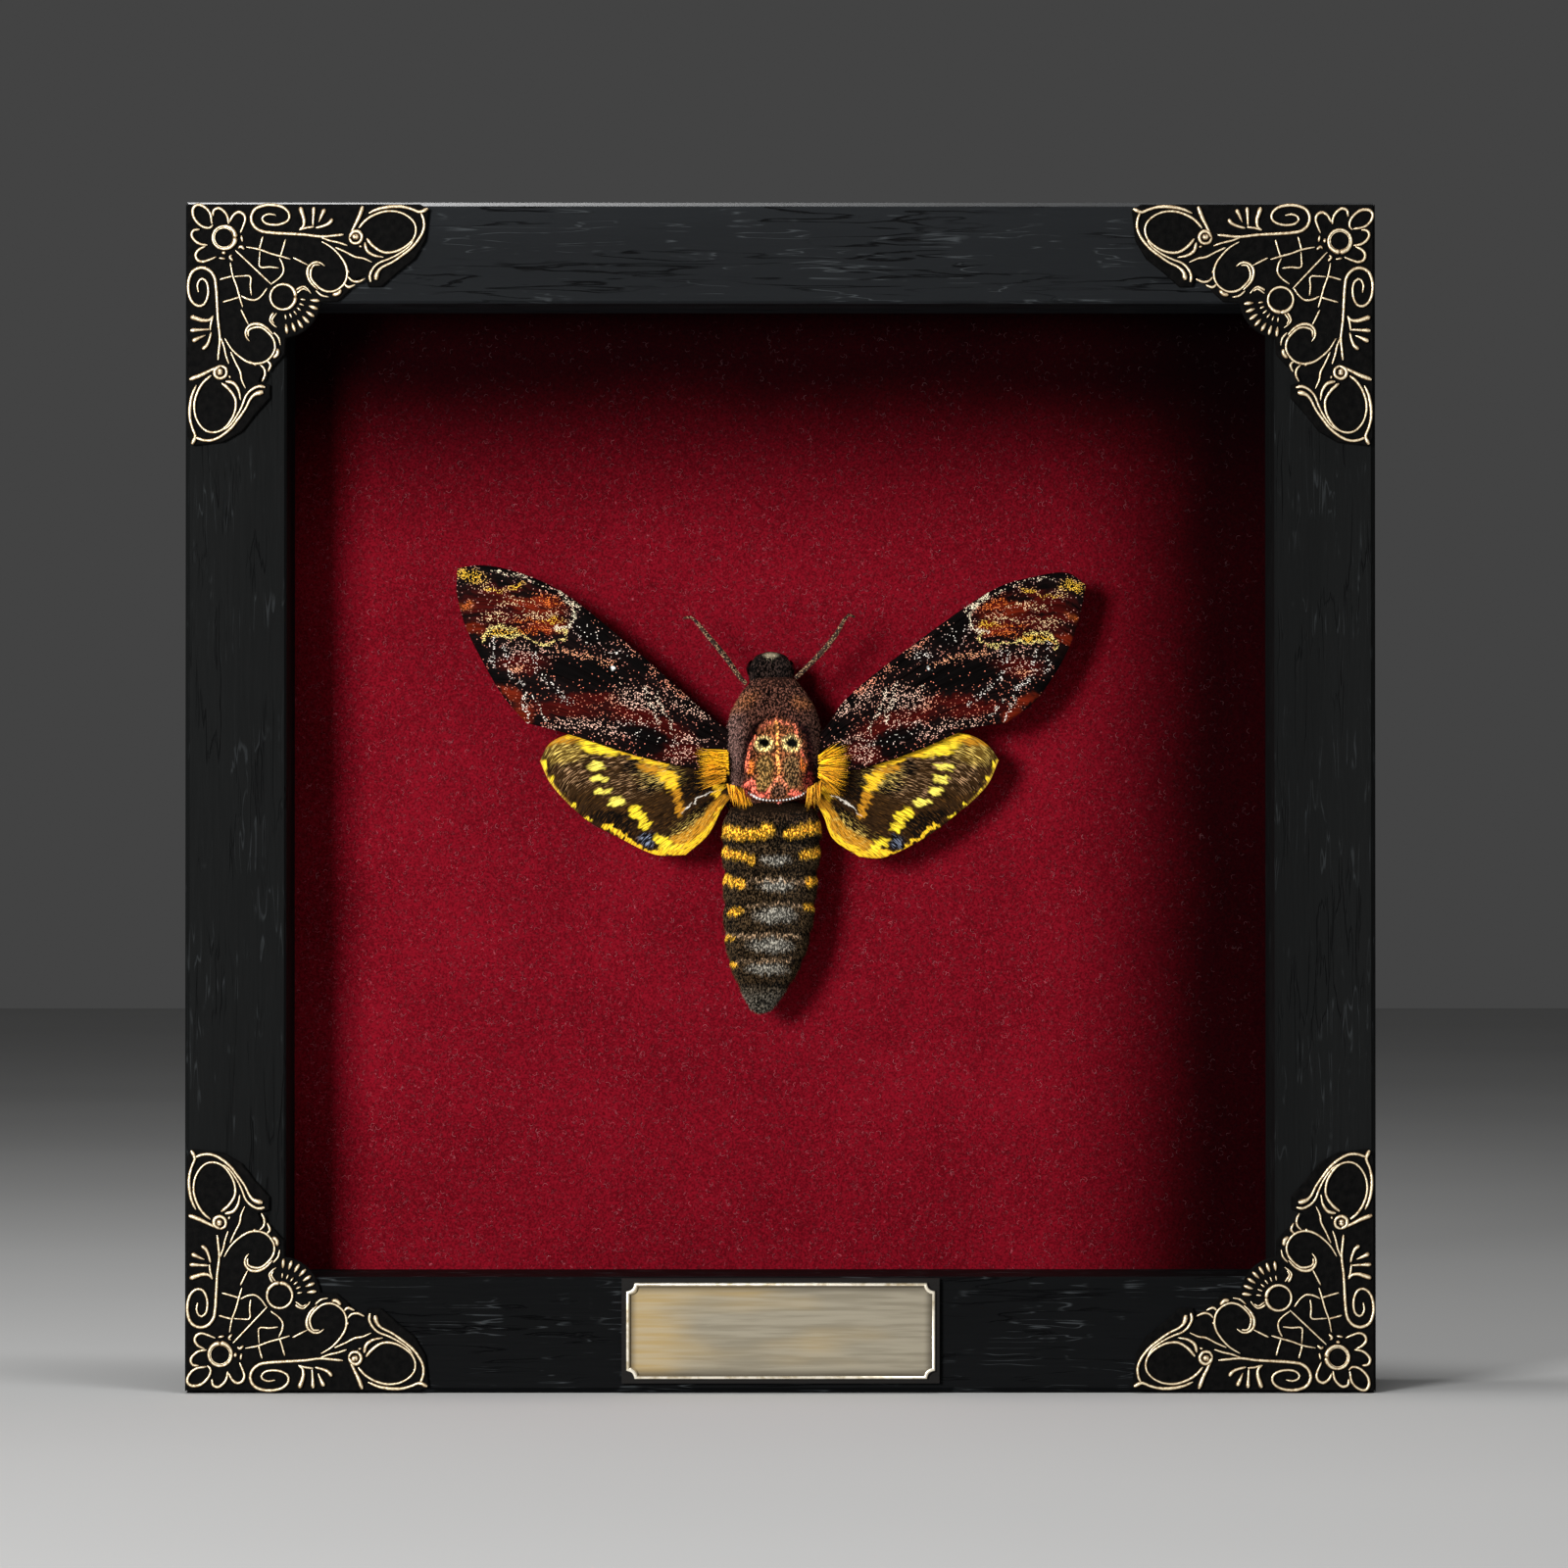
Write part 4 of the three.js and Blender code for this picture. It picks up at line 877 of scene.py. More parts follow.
FOREWING_DUST = [  # the tint, the share of scales that have it, and where
    ((225, 130, 105), 0.08, [(600, 720, 140, 60, 20)]),
    ((250, 200, 180), 0.2, [(535, 668, 28, 14, 0), (560, 596, 40, 8, 30)]),
    ((236, 120, 52), 0.4, [(475, 616, 9, 4, 0), (558, 612, 22, 8, 15), (545, 642, 26, 4, 0),
        (632, 712, 10, 10, 0), (540, 632, 20, 5, 0)]),
    ((255, 215, 165), 0.36, [(518, 612, 16, 4, 5), (505, 628, 16, 6, 0), (495, 598, 12, 4, 25),
        (548, 626, 22, 4, 0), (538, 612, 14, 2, 8)]),
    ((250, 196, 62), 0.62, [(480, 586, 16, 7, 15), (503, 601, 12, 2.5, 5), (526, 596, 10, 3.5, -15),
        (565, 633, 12, 4, 0), (512, 645, 20, 4, 0)]),
    ((255, 206, 184), 0.29, [(650, 712, 26, 14, 10), (700, 715, 22, 12, 20), (715, 727, 12, 7, 30),
        (700, 755, 24, 8, 0), (693, 768, 16, 8, 0), (615, 742, 20, 9, 25), (590, 738, 26, 6, 5),
        (570, 742, 16, 3, 0), (650, 735, 20, 4, 0)]),
    ((245, 235, 225), 0.26, [([(503, 650), (502, 660), (505, 678)], 3), ([(515, 660), (517, 676),
        (521, 688), (533, 698)], 3.5), ([(548, 662), (546, 672), (550, 684), (556, 692), (566, 700),
        (574, 708), (582, 716)], 3.5), (600, 645, 18, 8, 30), (632, 667, 14, 5, 5),
        (660, 748, 28, 8, 15)]),
    ((255, 178, 135), 0.5, [([(568, 660), (582, 665), (600, 668), (612, 673), (624, 677)], 3),
        (528, 680, 11, 4, 0)]),
    ((255, 165, 132), 0.5, [(609, 634, 5, 3, 40), (634, 655, 9, 3, 35), (648, 666, 6, 5, 45),
        (667, 683, 6, 5, 50), (683, 698, 9, 4, 30), (696, 706, 5, 8, -60)]),
    ((255, 230, 205), 0.5, [([(670, 706), (673, 715), (676, 722), (684, 732), (686, 744)], 2),
        ([(660, 700), (662, 712), (668, 724), (672, 735)], 2.6), ([(632, 700), (636, 690)], 2)]),
    ((255, 240, 205), 0.78, [([(500, 581), (530, 584), (560, 600)], 1), ([(572, 604), (583, 615),
        (592, 619)], 2.4), ([(585, 622), (584, 632), (580, 640), (566, 640)], 2.2)]),
    ((255, 232, 140), 0.78, [([(494, 652), (493, 645), (502, 640), (512, 638), (526, 641)], 2),
        ([(505, 648), (520, 650), (530, 647), (545, 652), (560, 655), (575, 651), (577, 644),
        (570, 642)], 1.6), (556, 657, 5, 3, 0)]),
    ((255, 246, 230), 0.55, [([(536, 706), (533, 713), (538, 720)], 1.8), ([(545, 709), (550, 718),
        (552, 726), (558, 734)], 1.4), ([(535, 722), (540, 730), (538, 736)], 1.4)]),
]
FOREWING_GAPS = [
    (479, 593, 8, 1.6, 8), (476, 605, 10, 2.4, -4), (482, 627, 12, 2.4, 0), (486, 654, 9, 4, 0),
    (505, 661, 8, 3, 0), (509, 620, 14, 1.6, 0), (530, 605, 12, 1.8, 10), (528, 636, 16, 1.4, 0),
    (560, 620, 14, 1.4, 4), (498, 588, 8, 1.8, 10), (540, 601, 9, 1.4, 20), (552, 646, 12, 1.3, 0),
]
STIGMA = (627, 681, 2.6, 2.0, 60)


def paint_forewing(s, t, seed):
    """The ground and the dust of a forewing, each as a colour and a share of scales."""
    left = wing_sheet(LEFT_FOREWING, s, t)
    x, y = ragged(*to_pixel(left[..., 0], left[..., 1]), 2.6, seed)
    ground = lay(np.ones((*x.shape, 3)) * linear(17, 8, 8), x, y, FOREWING_GROUND)
    gaps = inside_any(x, y, FOREWING_GAPS)
    ground = over(ground, linear(16, 6, 5), gaps * 0.85)
    ground = over(ground, linear(250, 248, 240), inside(x, y, STIGMA))
    dust, share = strew((190, 140, 130), 0.06, x, y, FOREWING_DUST, 0.45)
    black = inside_any(x, y, FOREWING_GROUND[-1][2], 0.2)
    share = share * (1 - 0.75 * black) * (1 - 0.85 * gaps) * (1 + 0.5 * grain(x / 4, y / 4, seed + 3))
    return ground, np.concatenate([dust, share[..., None]], -1)


# Marks of the hindwing, in pixels of the photograph's right one. The last layers of hair lie over the rest.
HINDWING_GROUND = [
    ((50, 32, 14), 0.85, [(930, 800, 50, 34, -20), (990, 790, 30, 30, 0)]),
    ((13, 8, 6), 0.95, [(865, 800, 22, 14, 20), (910, 800, 12, 10, 0), (925, 782, 12, 8, 0),
        (858, 828, 20, 6, 40), (945, 835, 22, 8, -20), (940, 845, 14, 6, -30)]),
    ((196, 134, 34), 0.95, [(990, 752, 24, 6, 15), (905, 785, 16, 4, -15), ([(838, 822), (850, 842),
        (866, 856), (884, 864)], 9), (884, 813, 5, 7, 0), (880, 826, 4, 9, 0)]),
    ((110, 84, 30), 0.7, [(995, 768, 20, 9, 0)]),
    ((255, 200, 44), 1.0, [([(895, 778), (915, 774), (930, 767), (950, 760), (970, 752),
        (990, 748)], 4), (893, 792, 10, 5, -10), (889, 801, 7, 6, 0), ([(838, 828), (846, 848),
        (861, 862), (880, 870), (905, 871)], 4.5), ([(955, 841), (940, 852), (925, 864),
        (910, 870)], 2.4), (844, 806, 5, 9, -14)]),
    ((255, 218, 52), 1.0, [(960, 763, 20, 6, -15), (922, 831, 10, 6, -35), (915, 843, 7, 4.5, 0),
        (897, 861, 11, 5, -35), (1017, 781, 3, 6, 0), (1009, 795, 3, 4, 0), (1000, 805, 4, 2, -30),
        (988, 819, 4, 2, -30), (973, 831, 5, 2, -30)]),
    ((255, 232, 96), 1.0, [(963, 781, 10, 3.6, 0), (961, 794, 8, 3.6, 0), (956, 806, 8, 3.6, 0),
        (941, 817, 9, 4, 0)]),
    ((8, 7, 10), 1.0, [(915, 858, 9, 7, 0)]),
]
HINDWING_HAIR = [
    ((92, 60, 26), 0.26, [(930, 800, 120, 70, 0)]),
    ((204, 160, 116), 0.3, [(930, 800, 24, 14, 0), (950, 775, 30, 8, 0), (985, 790, 18, 14, 0)]),
    ((250, 214, 110), 0.45, [(866, 848, 34, 12, 35), (995, 766, 22, 12, 0), (900, 790, 20, 14, 0)]),
    ((245, 235, 220), 0.9, [([(842, 806), (862, 816), (880, 832)], 0.9)]),
    ((150, 160, 185), 0.45, [(915, 858, 8, 6, 0)]),
]


def paint_hindwing(s, t, seed):
    """The ground and the hairs of a hindwing, each as a colour and a share."""
    right = wing_sheet(RIGHT_HINDWING, s, t)
    x, y = ragged(*to_pixel(right[..., 0], right[..., 1]), 1.6, seed)
    fray = grain(s * 75, t * 5, seed + 20)
    x, y = x + 3.2 * fray, y + 1.6 * fray
    ground = lay(np.ones((*x.shape, 3)) * linear(40, 25, 12), x, y, HINDWING_GROUND, 0.2)
    outer = np.clip((t - 0.984) * 90, 0, 1) * np.clip((0.36 - s) * 6, 0, 1)
    ground = over(ground, linear(226, 180, 60), outer * 0.8)
    hair, share = strew((90, 60, 25), 0.15, x, y, HINDWING_HAIR, 0.5)
    bright = np.clip(ground[..., 0] * 2 - 0.3, 0, 1)
    return ground, np.concatenate([hair, (share * (1 - 0.7 * bright))[..., None]], -1)


COARSE = 4  # steps of a wing's upper grid for each step of its underside


def quads(at):
    """The squares of a grid of point numbers."""
    return np.stack([at[:-1, :-1], at[:-1, 1:], at[1:, 1:], at[1:, :-1]], -1).reshape(-1, 4)


def shell(name, upper, under, chart, painted):
    """A closed thin mesh between two grids of places. It has a bake map, and values painted by point."""
    rows, columns = upper.shape[:2]
    low = under[::COARSE, ::COARSE]
    points = np.concatenate([upper.reshape(-1, 3), low.reshape(-1, 3)])
    top_grid = np.arange(rows * columns).reshape(rows, columns)
    low_grid = np.arange(low.shape[0] * low.shape[1]).reshape(low.shape[:2]) + rows * columns

    def border(at):
        return np.concatenate([at[0, :-1], at[:-1, -1], at[-1, :0:-1], at[:0:-1, 0]]).tolist()

    outer, inner = border(top_grid), border(low_grid)
    faces = quads(top_grid).tolist() + quads(low_grid)[:, ::-1].tolist()
    before_rim = 4 * len(faces)
    for k, at in enumerate(inner):
        fine = [outer[(COARSE * k + j) % len(outer)] for j in range(COARSE, -1, -1)]
        faces.append(fine + [at, inner[(k + 1) % len(inner)]])
    mesh = bpy.data.meshes.new(name)
    mesh.from_pydata(points.tolist(), [], faces)
    corners = np.empty(len(mesh.loops), int)
    mesh.loops.foreach_get("vertex_index", corners)
    half, rim = (0.48, 0.98), 1.012
    low_chart = chart[::COARSE, ::COARSE].reshape(-1, 2)
    own = np.concatenate([chart.reshape(-1, 2) * half + 0.01, low_chart * half + (0.51, 0.01)])
    at_rim = np.concatenate([own[: rows * columns], ((low_chart - 0.5) * rim + 0.5) * half + 0.01])
    where = own[corners]
    where[before_rim:] = at_rim[corners[before_rim:]]
    mesh.uv_layers.new(name="OFBake").data.foreach_set("uv", where.ravel())
    for key, (kind, values) in painted.items():
        both = [values.reshape(rows * columns, -1), values[::COARSE, ::COARSE].reshape(len(low_chart), -1)]
        store_points(mesh, key, kind, np.concatenate(both))
    a, b, c = (points[faces[0][k]] for k in range(3))
    if np.cross(b - a, c - a)[1] > 0:
        mesh.flip_normals()
    mesh.shade_smooth()
    return mesh


def make_wing(name, edges, veins, behind, shape, paint, seed):
    """A wing's shell, in metres."""
    s, t = np.meshgrid(np.linspace(0, 1, shape[0]), np.linspace(0, 1, shape[1]), indexing="ij")
    flat = wing_sheet(edges, s, t)
    share = np.abs(flat[..., 0]) / SPAN_HALF
    depth = behind + TIP_BACK * share**2 - ARCH * np.sin(np.pi * share)
    ridge = sum(np.exp(-(((s - vein) / VEIN_WIDTH) ** 2)) for vein in veins) * VEIN_RISE * (1 - 0.5 * t)
    wrinkle = 0.05 * grain(s * 60, t * 5, seed + 9) * np.minimum(1, 4 * t)
    edge = np.minimum(1, np.minimum(np.minimum(s, 1 - s) * 40, (1 - t) * 60))
    thick = WING_THICK / 2 * (0.35 + 0.65 * edge)
    upper = np.stack([flat[..., 0], depth - thick - (ridge + wrinkle) * edge, flat[..., 1]], -1)
    under = np.stack([flat[..., 0], depth + thick, flat[..., 1]], -1)
    ground, dust = paint(s, t, seed)
    ground = np.concatenate([ground, np.ones((*s.shape, 1))], -1)
    vane = np.stack([s * 80, t * 7, np.full(s.shape, float(seed))], -1)
    painted = {"paint": ("FLOAT_COLOR", ground), "dust": ("FLOAT_COLOR", dust)}
    painted["vane"] = ("FLOAT_VECTOR", vane)
    middle = np.array(MOTH)
    return shell(name, upper * MM + middle, under * MM + middle, np.stack([s, t], -1), painted)


def specks(finish, scale, share):
    """Round scales strewn in cells: where they lie for a share of the cells, and how bright each one is."""
    inputs = {"Vector": finish.front_place(), "Scale": scale}
    cells = finish.node("ShaderNodeTexVoronoi", {"voronoi_dimensions": "2D"}, inputs)
    chance = finish.node("ShaderNodeSeparateColor", None, {0: cells.sibling("Color")})
    return (1 - finish.step(cells, 0.4, 0.5)) * (chance < share), chance.sibling("Green") * 1.1 + 0.55


forewing_scales = Finish("forewing_scales", 0.7, Specular_IOR_Level=0.03)
streak = forewing_scales.noise(1, 2, where=forewing_scales.painted("vane", "Vector"))
dark = forewing_scales.step(streak, 0.3, 0.66) * 0.9 + 0.35
ground = forewing_scales.dimmed(forewing_scales.painted("paint"), dark)
where, bright = specks(forewing_scales, 4700, forewing_scales.painted("dust", "Alpha"))
dust = forewing_scales.dimmed(forewing_scales.painted("dust"), bright)
forewing_scales.feed("Base Color", forewing_scales.mix(where, ground, dust))
forewing_scales.bump(where * 0.6 + streak * 0.8, 0.06 * MM)

hindwing_scales = Finish("hindwing_scales", 0.7, Specular_IOR_Level=0.03)
vane = hindwing_scales.painted("vane", "Vector")
streak = hindwing_scales.noise(1.7, 3, where=vane)
hair = hindwing_scales.noise(2.8, 1, where=vane)
dark = hindwing_scales.step(streak, 0.36, 0.56) * 0.95 + 0.35
ground = hindwing_scales.dimmed(hindwing_scales.painted("paint"), dark)
where = hindwing_scales.step(hair + hindwing_scales.painted("dust", "Alpha") * 0.28, 0.64, 0.72)
hindwing_scales.feed("Base Color", hindwing_scales.mix(where, ground, hindwing_scales.painted("dust")))
hindwing_scales.bump(where * 0.5 + streak, 0.07 * MM)

FOREWING_GRID, HINDWING_GRID = (161, 301), (161, 221)
WINGS = {
    "forewing_left": (LEFT_FOREWING, FOREWING_VEINS, 0, FOREWING_GRID, paint_forewing, 20),
    "forewing_right": (RIGHT_FOREWING, FOREWING_VEINS, 0, FOREWING_GRID, paint_forewing, 50),
    "hindwing_left": (LEFT_HINDWING, HINDWING_VEINS, HINDWING_BEHIND, HINDWING_GRID, paint_hindwing, 30),
    "hindwing_right": (RIGHT_HINDWING, HINDWING_VEINS, HINDWING_BEHIND, HINDWING_GRID, paint_hindwing, 60),
}
for name, shape in WINGS.items():
    kind = name.split("_")[0]
    scales = forewing_scales if kind == "forewing" else hindwing_scales
    add_piece(name + "_scaled", make_wing(name, *shape), scales, kind + "_scales", [name])


# Head, thorax and abdomen.
# One furry body: a short blunt head, a barrel of a thorax with the pale skull mark on its back, and a
# banded abdomen. The skin lies inside the coat, and tufts of fur stand over it and lie towards the tail.
FLATNESS = 0.8
THORAX = [
    (-11.3, 0), (-11.1, 4.2), (-10.5, 5.8), (-9.4, 6.6), (-7.5, 7.0), (-5, 7.4), (-2, 7.8), (2, 7.8),
    (4.7, 7.1), (6.5, 6.3), (8.3, 5.2), (10, 3.8), (10.8, 0),
]
HEAD = [(7.8, 0), (8.2, 2.6), (9.4, 3.6), (11.2, 3.7), (12.6, 3.5), (13.5, 3), (14.1, 2.2), (14.5, 0)]
SEGMENT_ENDS = [
    (-11, 4.6), (-12.6, 8.1), (-17.5, 8.5), (-22.4, 8.1), (-27.9, 7.9), (-32.9, 7.5), (-37.4, 6.5),
    (-41.5, 4.7), (-46.2, 2.2),
]
ABDOMEN_TOP, ABDOMEN_TIP = -9.6, -47
GROOVE, SWELL = 0.965, 1.02  # shares of the width between two rings of the abdomen, and on each ring
TAIL_BEND, HEAD_ASIDE, ABDOMEN_ASIDE = 1.9, -0.5, -0.3
FLAP_LIFT, FLAP_START = 1.1, -5  # how much shorter the thorax is below than above, and from where
SKIN_ROWS = 8  # rings for each millimetre of the body


def store_coat(mesh, colour, lie, hair, stand, cover, root):
    """Writes what the fur tree reads at each point: colour, way, length, stand, share and bake place."""
    store_points(mesh, "paint", "FLOAT_COLOR", np.hstack([colour, np.ones((len(colour), 1))]))
    store_points(mesh, "lie", "FLOAT_VECTOR", lie)
    store_points(mesh, "root", "FLOAT_VECTOR", root)
    for name, values in (("hair", hair), ("stand", stand), ("cover", cover)):
        store_points(mesh, name, "FLOAT", values)


def body_skin(name, profile, behind, coat, sides, paint):
    """A closed skin turned about the body's length, less the coat's depth, with the lie of its fur."""
    low, high = profile[0][0], profile[-1][0]
    heights = np.linspace(low, high, int((high - low) * SKIN_ROWS))
    radii = np.interp(heights, *zip(*profile))
    blur = (0.06, 0.12, 0.2, 0.24, 0.2, 0.12, 0.06)
    radii = np.convolve(np.pad(radii, 3, "edge"), blur, "valid")[1:-1] - coat
    heights = heights[1:-1]
    kept = radii > 0.3
    radii, heights = radii[kept], heights[kept]
    turn = np.linspace(-math.pi, math.pi, sides, endpoint=False)[None, :].repeat(len(radii), 0)
    u = radii[:, None] * np.sin(turn)
    d = behind - radii[:, None] * np.cos(turn) * FLATNESS
    w = np.repeat(heights[:, None], sides, 1)
    if name == "thorax":
        w = w + FLAP_LIFT * (1 - np.cos(turn)) * np.clip((FLAP_START - w) / 5, 0, 1)
    if name == "head":
        u = u + HEAD_ASIDE
    if name == "abdomen":
        toward_tip = np.clip((w - ABDOMEN_TOP) / (ABDOMEN_TIP - ABDOMEN_TOP), 0, 1)
        u = u - TAIL_BEND * toward_tip**2 + ABDOMEN_ASIDE
    grid = np.stack([u, d, w], -1) * MM + np.array(MOTH)
    rings, around = grid.shape[:2]
    points = np.concatenate([grid.reshape(-1, 3), [grid[0].mean(0)], [grid[-1].mean(0)]])
    at = np.arange(rings * around).reshape(rings, around)
    right = np.roll(at, -1, 1)
    tail, nose = rings * around, rings * around + 1
    faces = quads(np.hstack([at, at[:, :1]])).tolist()
    faces += [(tail, b, a) for a, b in zip(at[0], right[0])]
    faces += [(a, b, nose) for a, b in zip(at[-1], right[-1])]
    mesh = bpy.data.meshes.new(name)
    mesh.from_pydata(points.tolist(), [], faces)

    ring, side = np.meshgrid(np.arange(rings), np.arange(around), indexing="ij")
    chart = np.stack([(side + 0.5) / (around + 1), (ring + 2) / (rings + 4)], -1) * 0.98 + 0.01
    one = np.array([0.98 / (around + 1), 0])
    quad = [chart[:-1], chart[:-1] + one, np.roll(chart, -1, 0)[:-1] + one, np.roll(chart, -1, 0)[:-1]]
    where = [np.stack(quad, 2).reshape(-1, 2)]
    drop = np.array([0, 0.98 / (rings + 4)])
    where.append(np.stack([chart[0] + one / 2 - drop, chart[0] + one, chart[0]], 1).reshape(-1, 2))
    where.append(np.stack([chart[-1], chart[-1] + one, chart[-1] + one / 2 + drop], 1).reshape(-1, 2))
    mesh.uv_layers.new(name="OFBake").data.foreach_set("uv", np.concatenate(where).ravel())

    full_u = np.append(u.ravel(), [u[0].mean(), u[-1].mean()])
    full_w = np.append(w.ravel(), [w[0].mean(), w[-1].mean()])
    colour, hair, stand, cover = paint(full_u, full_w, np.append(turn.ravel(), [0, 0]))
    lie = np.stack([full_u * 0.03, np.zeros(len(full_u)), np.full(len(full_u), -1.0)], -1)
    root = np.zeros((len(full_u), 3))
    root[: rings * around, :2] = chart.reshape(-1, 2)
    root[tail, :2], root[nose, :2] = chart[0].mean(0), chart[-1].mean(0)
    store_coat(mesh, colour, lie, hair * MM, stand, cover, root)
    mesh.shade_smooth()
    return mesh


THORAX_MARKS = [
    ((112, 86, 80), 0.8, [(748, 760, 12, 46, 5)]),
    # Painted shade: the darker band down the thorax's right side.
    ((58, 40, 34), 0.8, [(832, 765, 12, 44, -5)]),
    ((140, 86, 48), 0.5, [(760, 712, 14, 7, -25), (816, 713, 9, 6, 10)]),
    ((8, 5, 5), 0.9, [(785, 704, 8, 2, 0)]),
    ((13, 7, 8), 0.95, [([(772, 738), (767, 755), (764, 780)], 6), ([(818, 738), (822, 758),
        (826, 785)], 6)]),
    ((52, 8, 10), 0.9, [(795, 772, 30, 44, 0)]),
    ((124, 74, 44), 1.0, [(795, 768, 25, 36, 0), (794, 796, 29, 18, 0), (796, 745, 18, 12, 0)]),
    ((132, 104, 58), 0.9, [(781, 780, 9, 12, 0), (780, 796, 10, 8, 0)]),
    ((106, 82, 52), 0.9, [(808, 780, 9, 12, 0), (808, 794, 9, 7, 0)]),
    ((205, 118, 50), 0.9, [(767, 780, 3.5, 7, 0), (820, 777, 3.5, 7, 0)]),
    ((212, 118, 88), 0.85, [([(779, 741), (780, 736), (787, 736), (793, 731), (797, 735), (803, 737),
        (811, 736), (812, 741)], 1.6), ([(771, 749), (766, 760), (764, 770), (763, 782)], 1.5),
        ([(812, 741), (814, 750), (817, 760), (819, 767), (822, 775)], 1.4)]),
    ((238, 168, 92), 0.95, [([(792, 735), (793, 750), (794, 765), (795, 792)], 1.4)]),
    ((226, 140, 104), 0.9, [([(787, 800), (791, 794), (795, 790), (799, 794), (803, 800)], 1.5)]),
    ((250, 222, 150), 1.0, [(780.5, 757, 8.6, 7.6, 0), (807.5, 756, 9.2, 8, 0)]),
    ((1, 1, 1), 1.0, [(780, 756, 6.2, 4.8, 10), (807.5, 755.5, 6.6, 5.0, 5)]),
    ((108, 34, 30), 0.8, [(765, 800, 5, 8, -20), (824, 793, 5, 9, 15)]),
    ((226, 118, 96), 0.95, [([(762, 795), (768, 794), (771, 799), (769, 804), (775, 808), (784, 808),
        (784, 804)], 2.6), (811, 807, 6, 3.5, 0)]),
    ((88, 62, 48), 0.9, [(795, 804, 7, 7, 0)]),
]
SKULL = (795, 776, 34, 50, 0)
HEAD_MARKS = [
    ((92, 64, 52), 0.8, [(786, 697, 24, 7, 0)]),
    ((240, 222, 184), 1.0, [(787, 667, 6.5, 2.4, 0)]),
]


def paint_thorax(u, w, turn):
    """Colour, hair length, stand and cover of the thorax's coat."""
    place = to_pixel(u, w)
    x, y = ragged(*place, 0.9, 100)
    above = np.cos(turn) > -0.15
    colour = lay(np.ones((len(x), 3)) * linear(76, 47, 38), x, y, THORAX_MARKS[:5], 0.5)
    colour = lay(colour, x, y, THORAX_MARKS[5:], 0.22)
    colour = np.where(above[:, None], colour, linear(66, 46, 34))
    mark = inside(*place, SKULL, 0.12) * above
    return colour, 1.5 - 1.0 * mark, 0.4 - 0.28 * mark, np.where(above, 0.42 + 0.58 * mark, 0.25)


def paint_head(u, w, turn):
    """Colour, hair length, stand and cover of the head's coat."""
    x, y = to_pixel(u, w)
    colour = lay(np.ones((len(x), 3)) * linear(34, 25, 22), x, y, HEAD_MARKS, 0.5)
    return colour, np.full(len(x), 0.9), np.full(len(x), 0.35), np.ones(len(x))


# The dark lines between the rings are painted shade in the grooves.
ABDOMEN_RINGS = (855, 885, 918, 948, 975, 1000)  # pixel heights of the dark lines between the rings
ABDOMEN_MARKS = [
    ((176, 172, 160), 0.62, [(792, 873, 11, 4, 0), (792, 899, 14, 5, 0), (791, 930, 17, 6, 0),
        (787, 960, 18, 6, 2), (783, 984, 17, 4, 0)]),
    ((214, 178, 140), 0.55, [([(764, 920), (790, 918), (828, 921)], 1.0), ([(742, 949), (765, 951),
        (786, 949), (814, 951)], 1.2), ([(752, 976), (784, 976), (808, 974)], 1.0), ([(760, 897),
        (790, 893), (820, 896)], 0.8)]),
    ((232, 176, 52), 0.9, [([(744, 843), (760, 847), (776, 845), (786, 842)], 5.5), ([(806, 846),
        (820, 842), (838, 838)], 5.5), ([(742, 865), (756, 869), (768, 872)], 4), ([(819, 868),
        (834, 864)], 3.4), ([(742, 893), (752, 896), (758, 898)], 4), ([(823, 896), (831, 894)], 3.4),
        ([(747, 926), (756, 926)], 3), ([(822, 921), (828, 920)], 3), ([(742, 952), (750, 954)], 1.6),
        ([(747, 978), (752, 980)], 2)]),
    ((10, 7, 5), 0.95, [([(790, 838), (796, 842), (803, 838)], 2.6), ([(744, 855), (790, 853),
        (836, 850)], 1.6)]),
]


def paint_abdomen(u, w, turn):
    """Colour, hair length, stand and cover of the abdomen's coat."""
    x, y = to_pixel(u, w)
    x = x + 1.6 * grain(x / 4, y / 4, 111)
    y = y + 2.2 * grain(x / 2.5, y / 6, 112)
    above = np.cos(turn) > -0.2
    colour = np.ones((len(x), 3)) * linear(52, 40, 26)
    # Painted shade in the grooves between the rings.
    for line in ABDOMEN_RINGS:
        colour = over(colour, linear(10, 7, 6), np.clip(1 - np.abs(y - line) / 3.6, 0, 1) * 0.9)
    colour = over(colour, linear(44, 30, 20), np.clip((838 - y) / 6, 0, 1) * 0.85)
    colour = lay(colour, x, y, ABDOMEN_MARKS[:1], 0.5)
    colour = lay(colour, x, y, ABDOMEN_MARKS[1:], 0.25)
    colour = over(colour, linear(78, 74, 66), np.clip((y - 1000) / 12, 0, 1) * 0.8)
    bands = 0.5 + 0.5 * np.sin(y / 9)
    belly = over(np.ones((len(x), 3)) * linear(190, 150, 70), linear(90, 62, 34), bands)
    colour = np.where(above[:, None], colour, belly)
    hair = 1.0 + 0.3 * np.clip((w + 20) / 10, 0, 1) - 0.4 * np.clip((-w - 42) / 4, 0, 1)
    return colour, hair, np.full(len(x), 0.2), np.where(above, 1.0, 0.5)


# The tree that sets tufts of fur on a skin: one tapered tuft at each point, along the skin's lie.
fur = Tree("fur_coat", Density="Float", Width="Float", Mess="Float", Seed="Int", Material="Material")
width = fur.source["Width"]
spread = fur.strewn(fur.times(fur.source["Density"], fur.read("cover", "FLOAT")))
stray = fur.vector("SCALE", fur.chance((-1, -1, -1), (1, 1, 1), 3), fur.source["Mess"])
lean = fur.vector("SCALE", spread["Normal"], fur.read("stand", "FLOAT"))
heading = fur.vector("ADD", fur.vector("ADD", fur.read("lie", "FLOAT_VECTOR"), lean), stray)
upright = {"primary_axis": "Z", "secondary_axis": "X"}
axes = {"Primary Axis": heading, "Secondary Axis": spread["Normal"]}
turned = fur.node("FunctionNodeAxesToRotation", upright, axes).outputs[0]
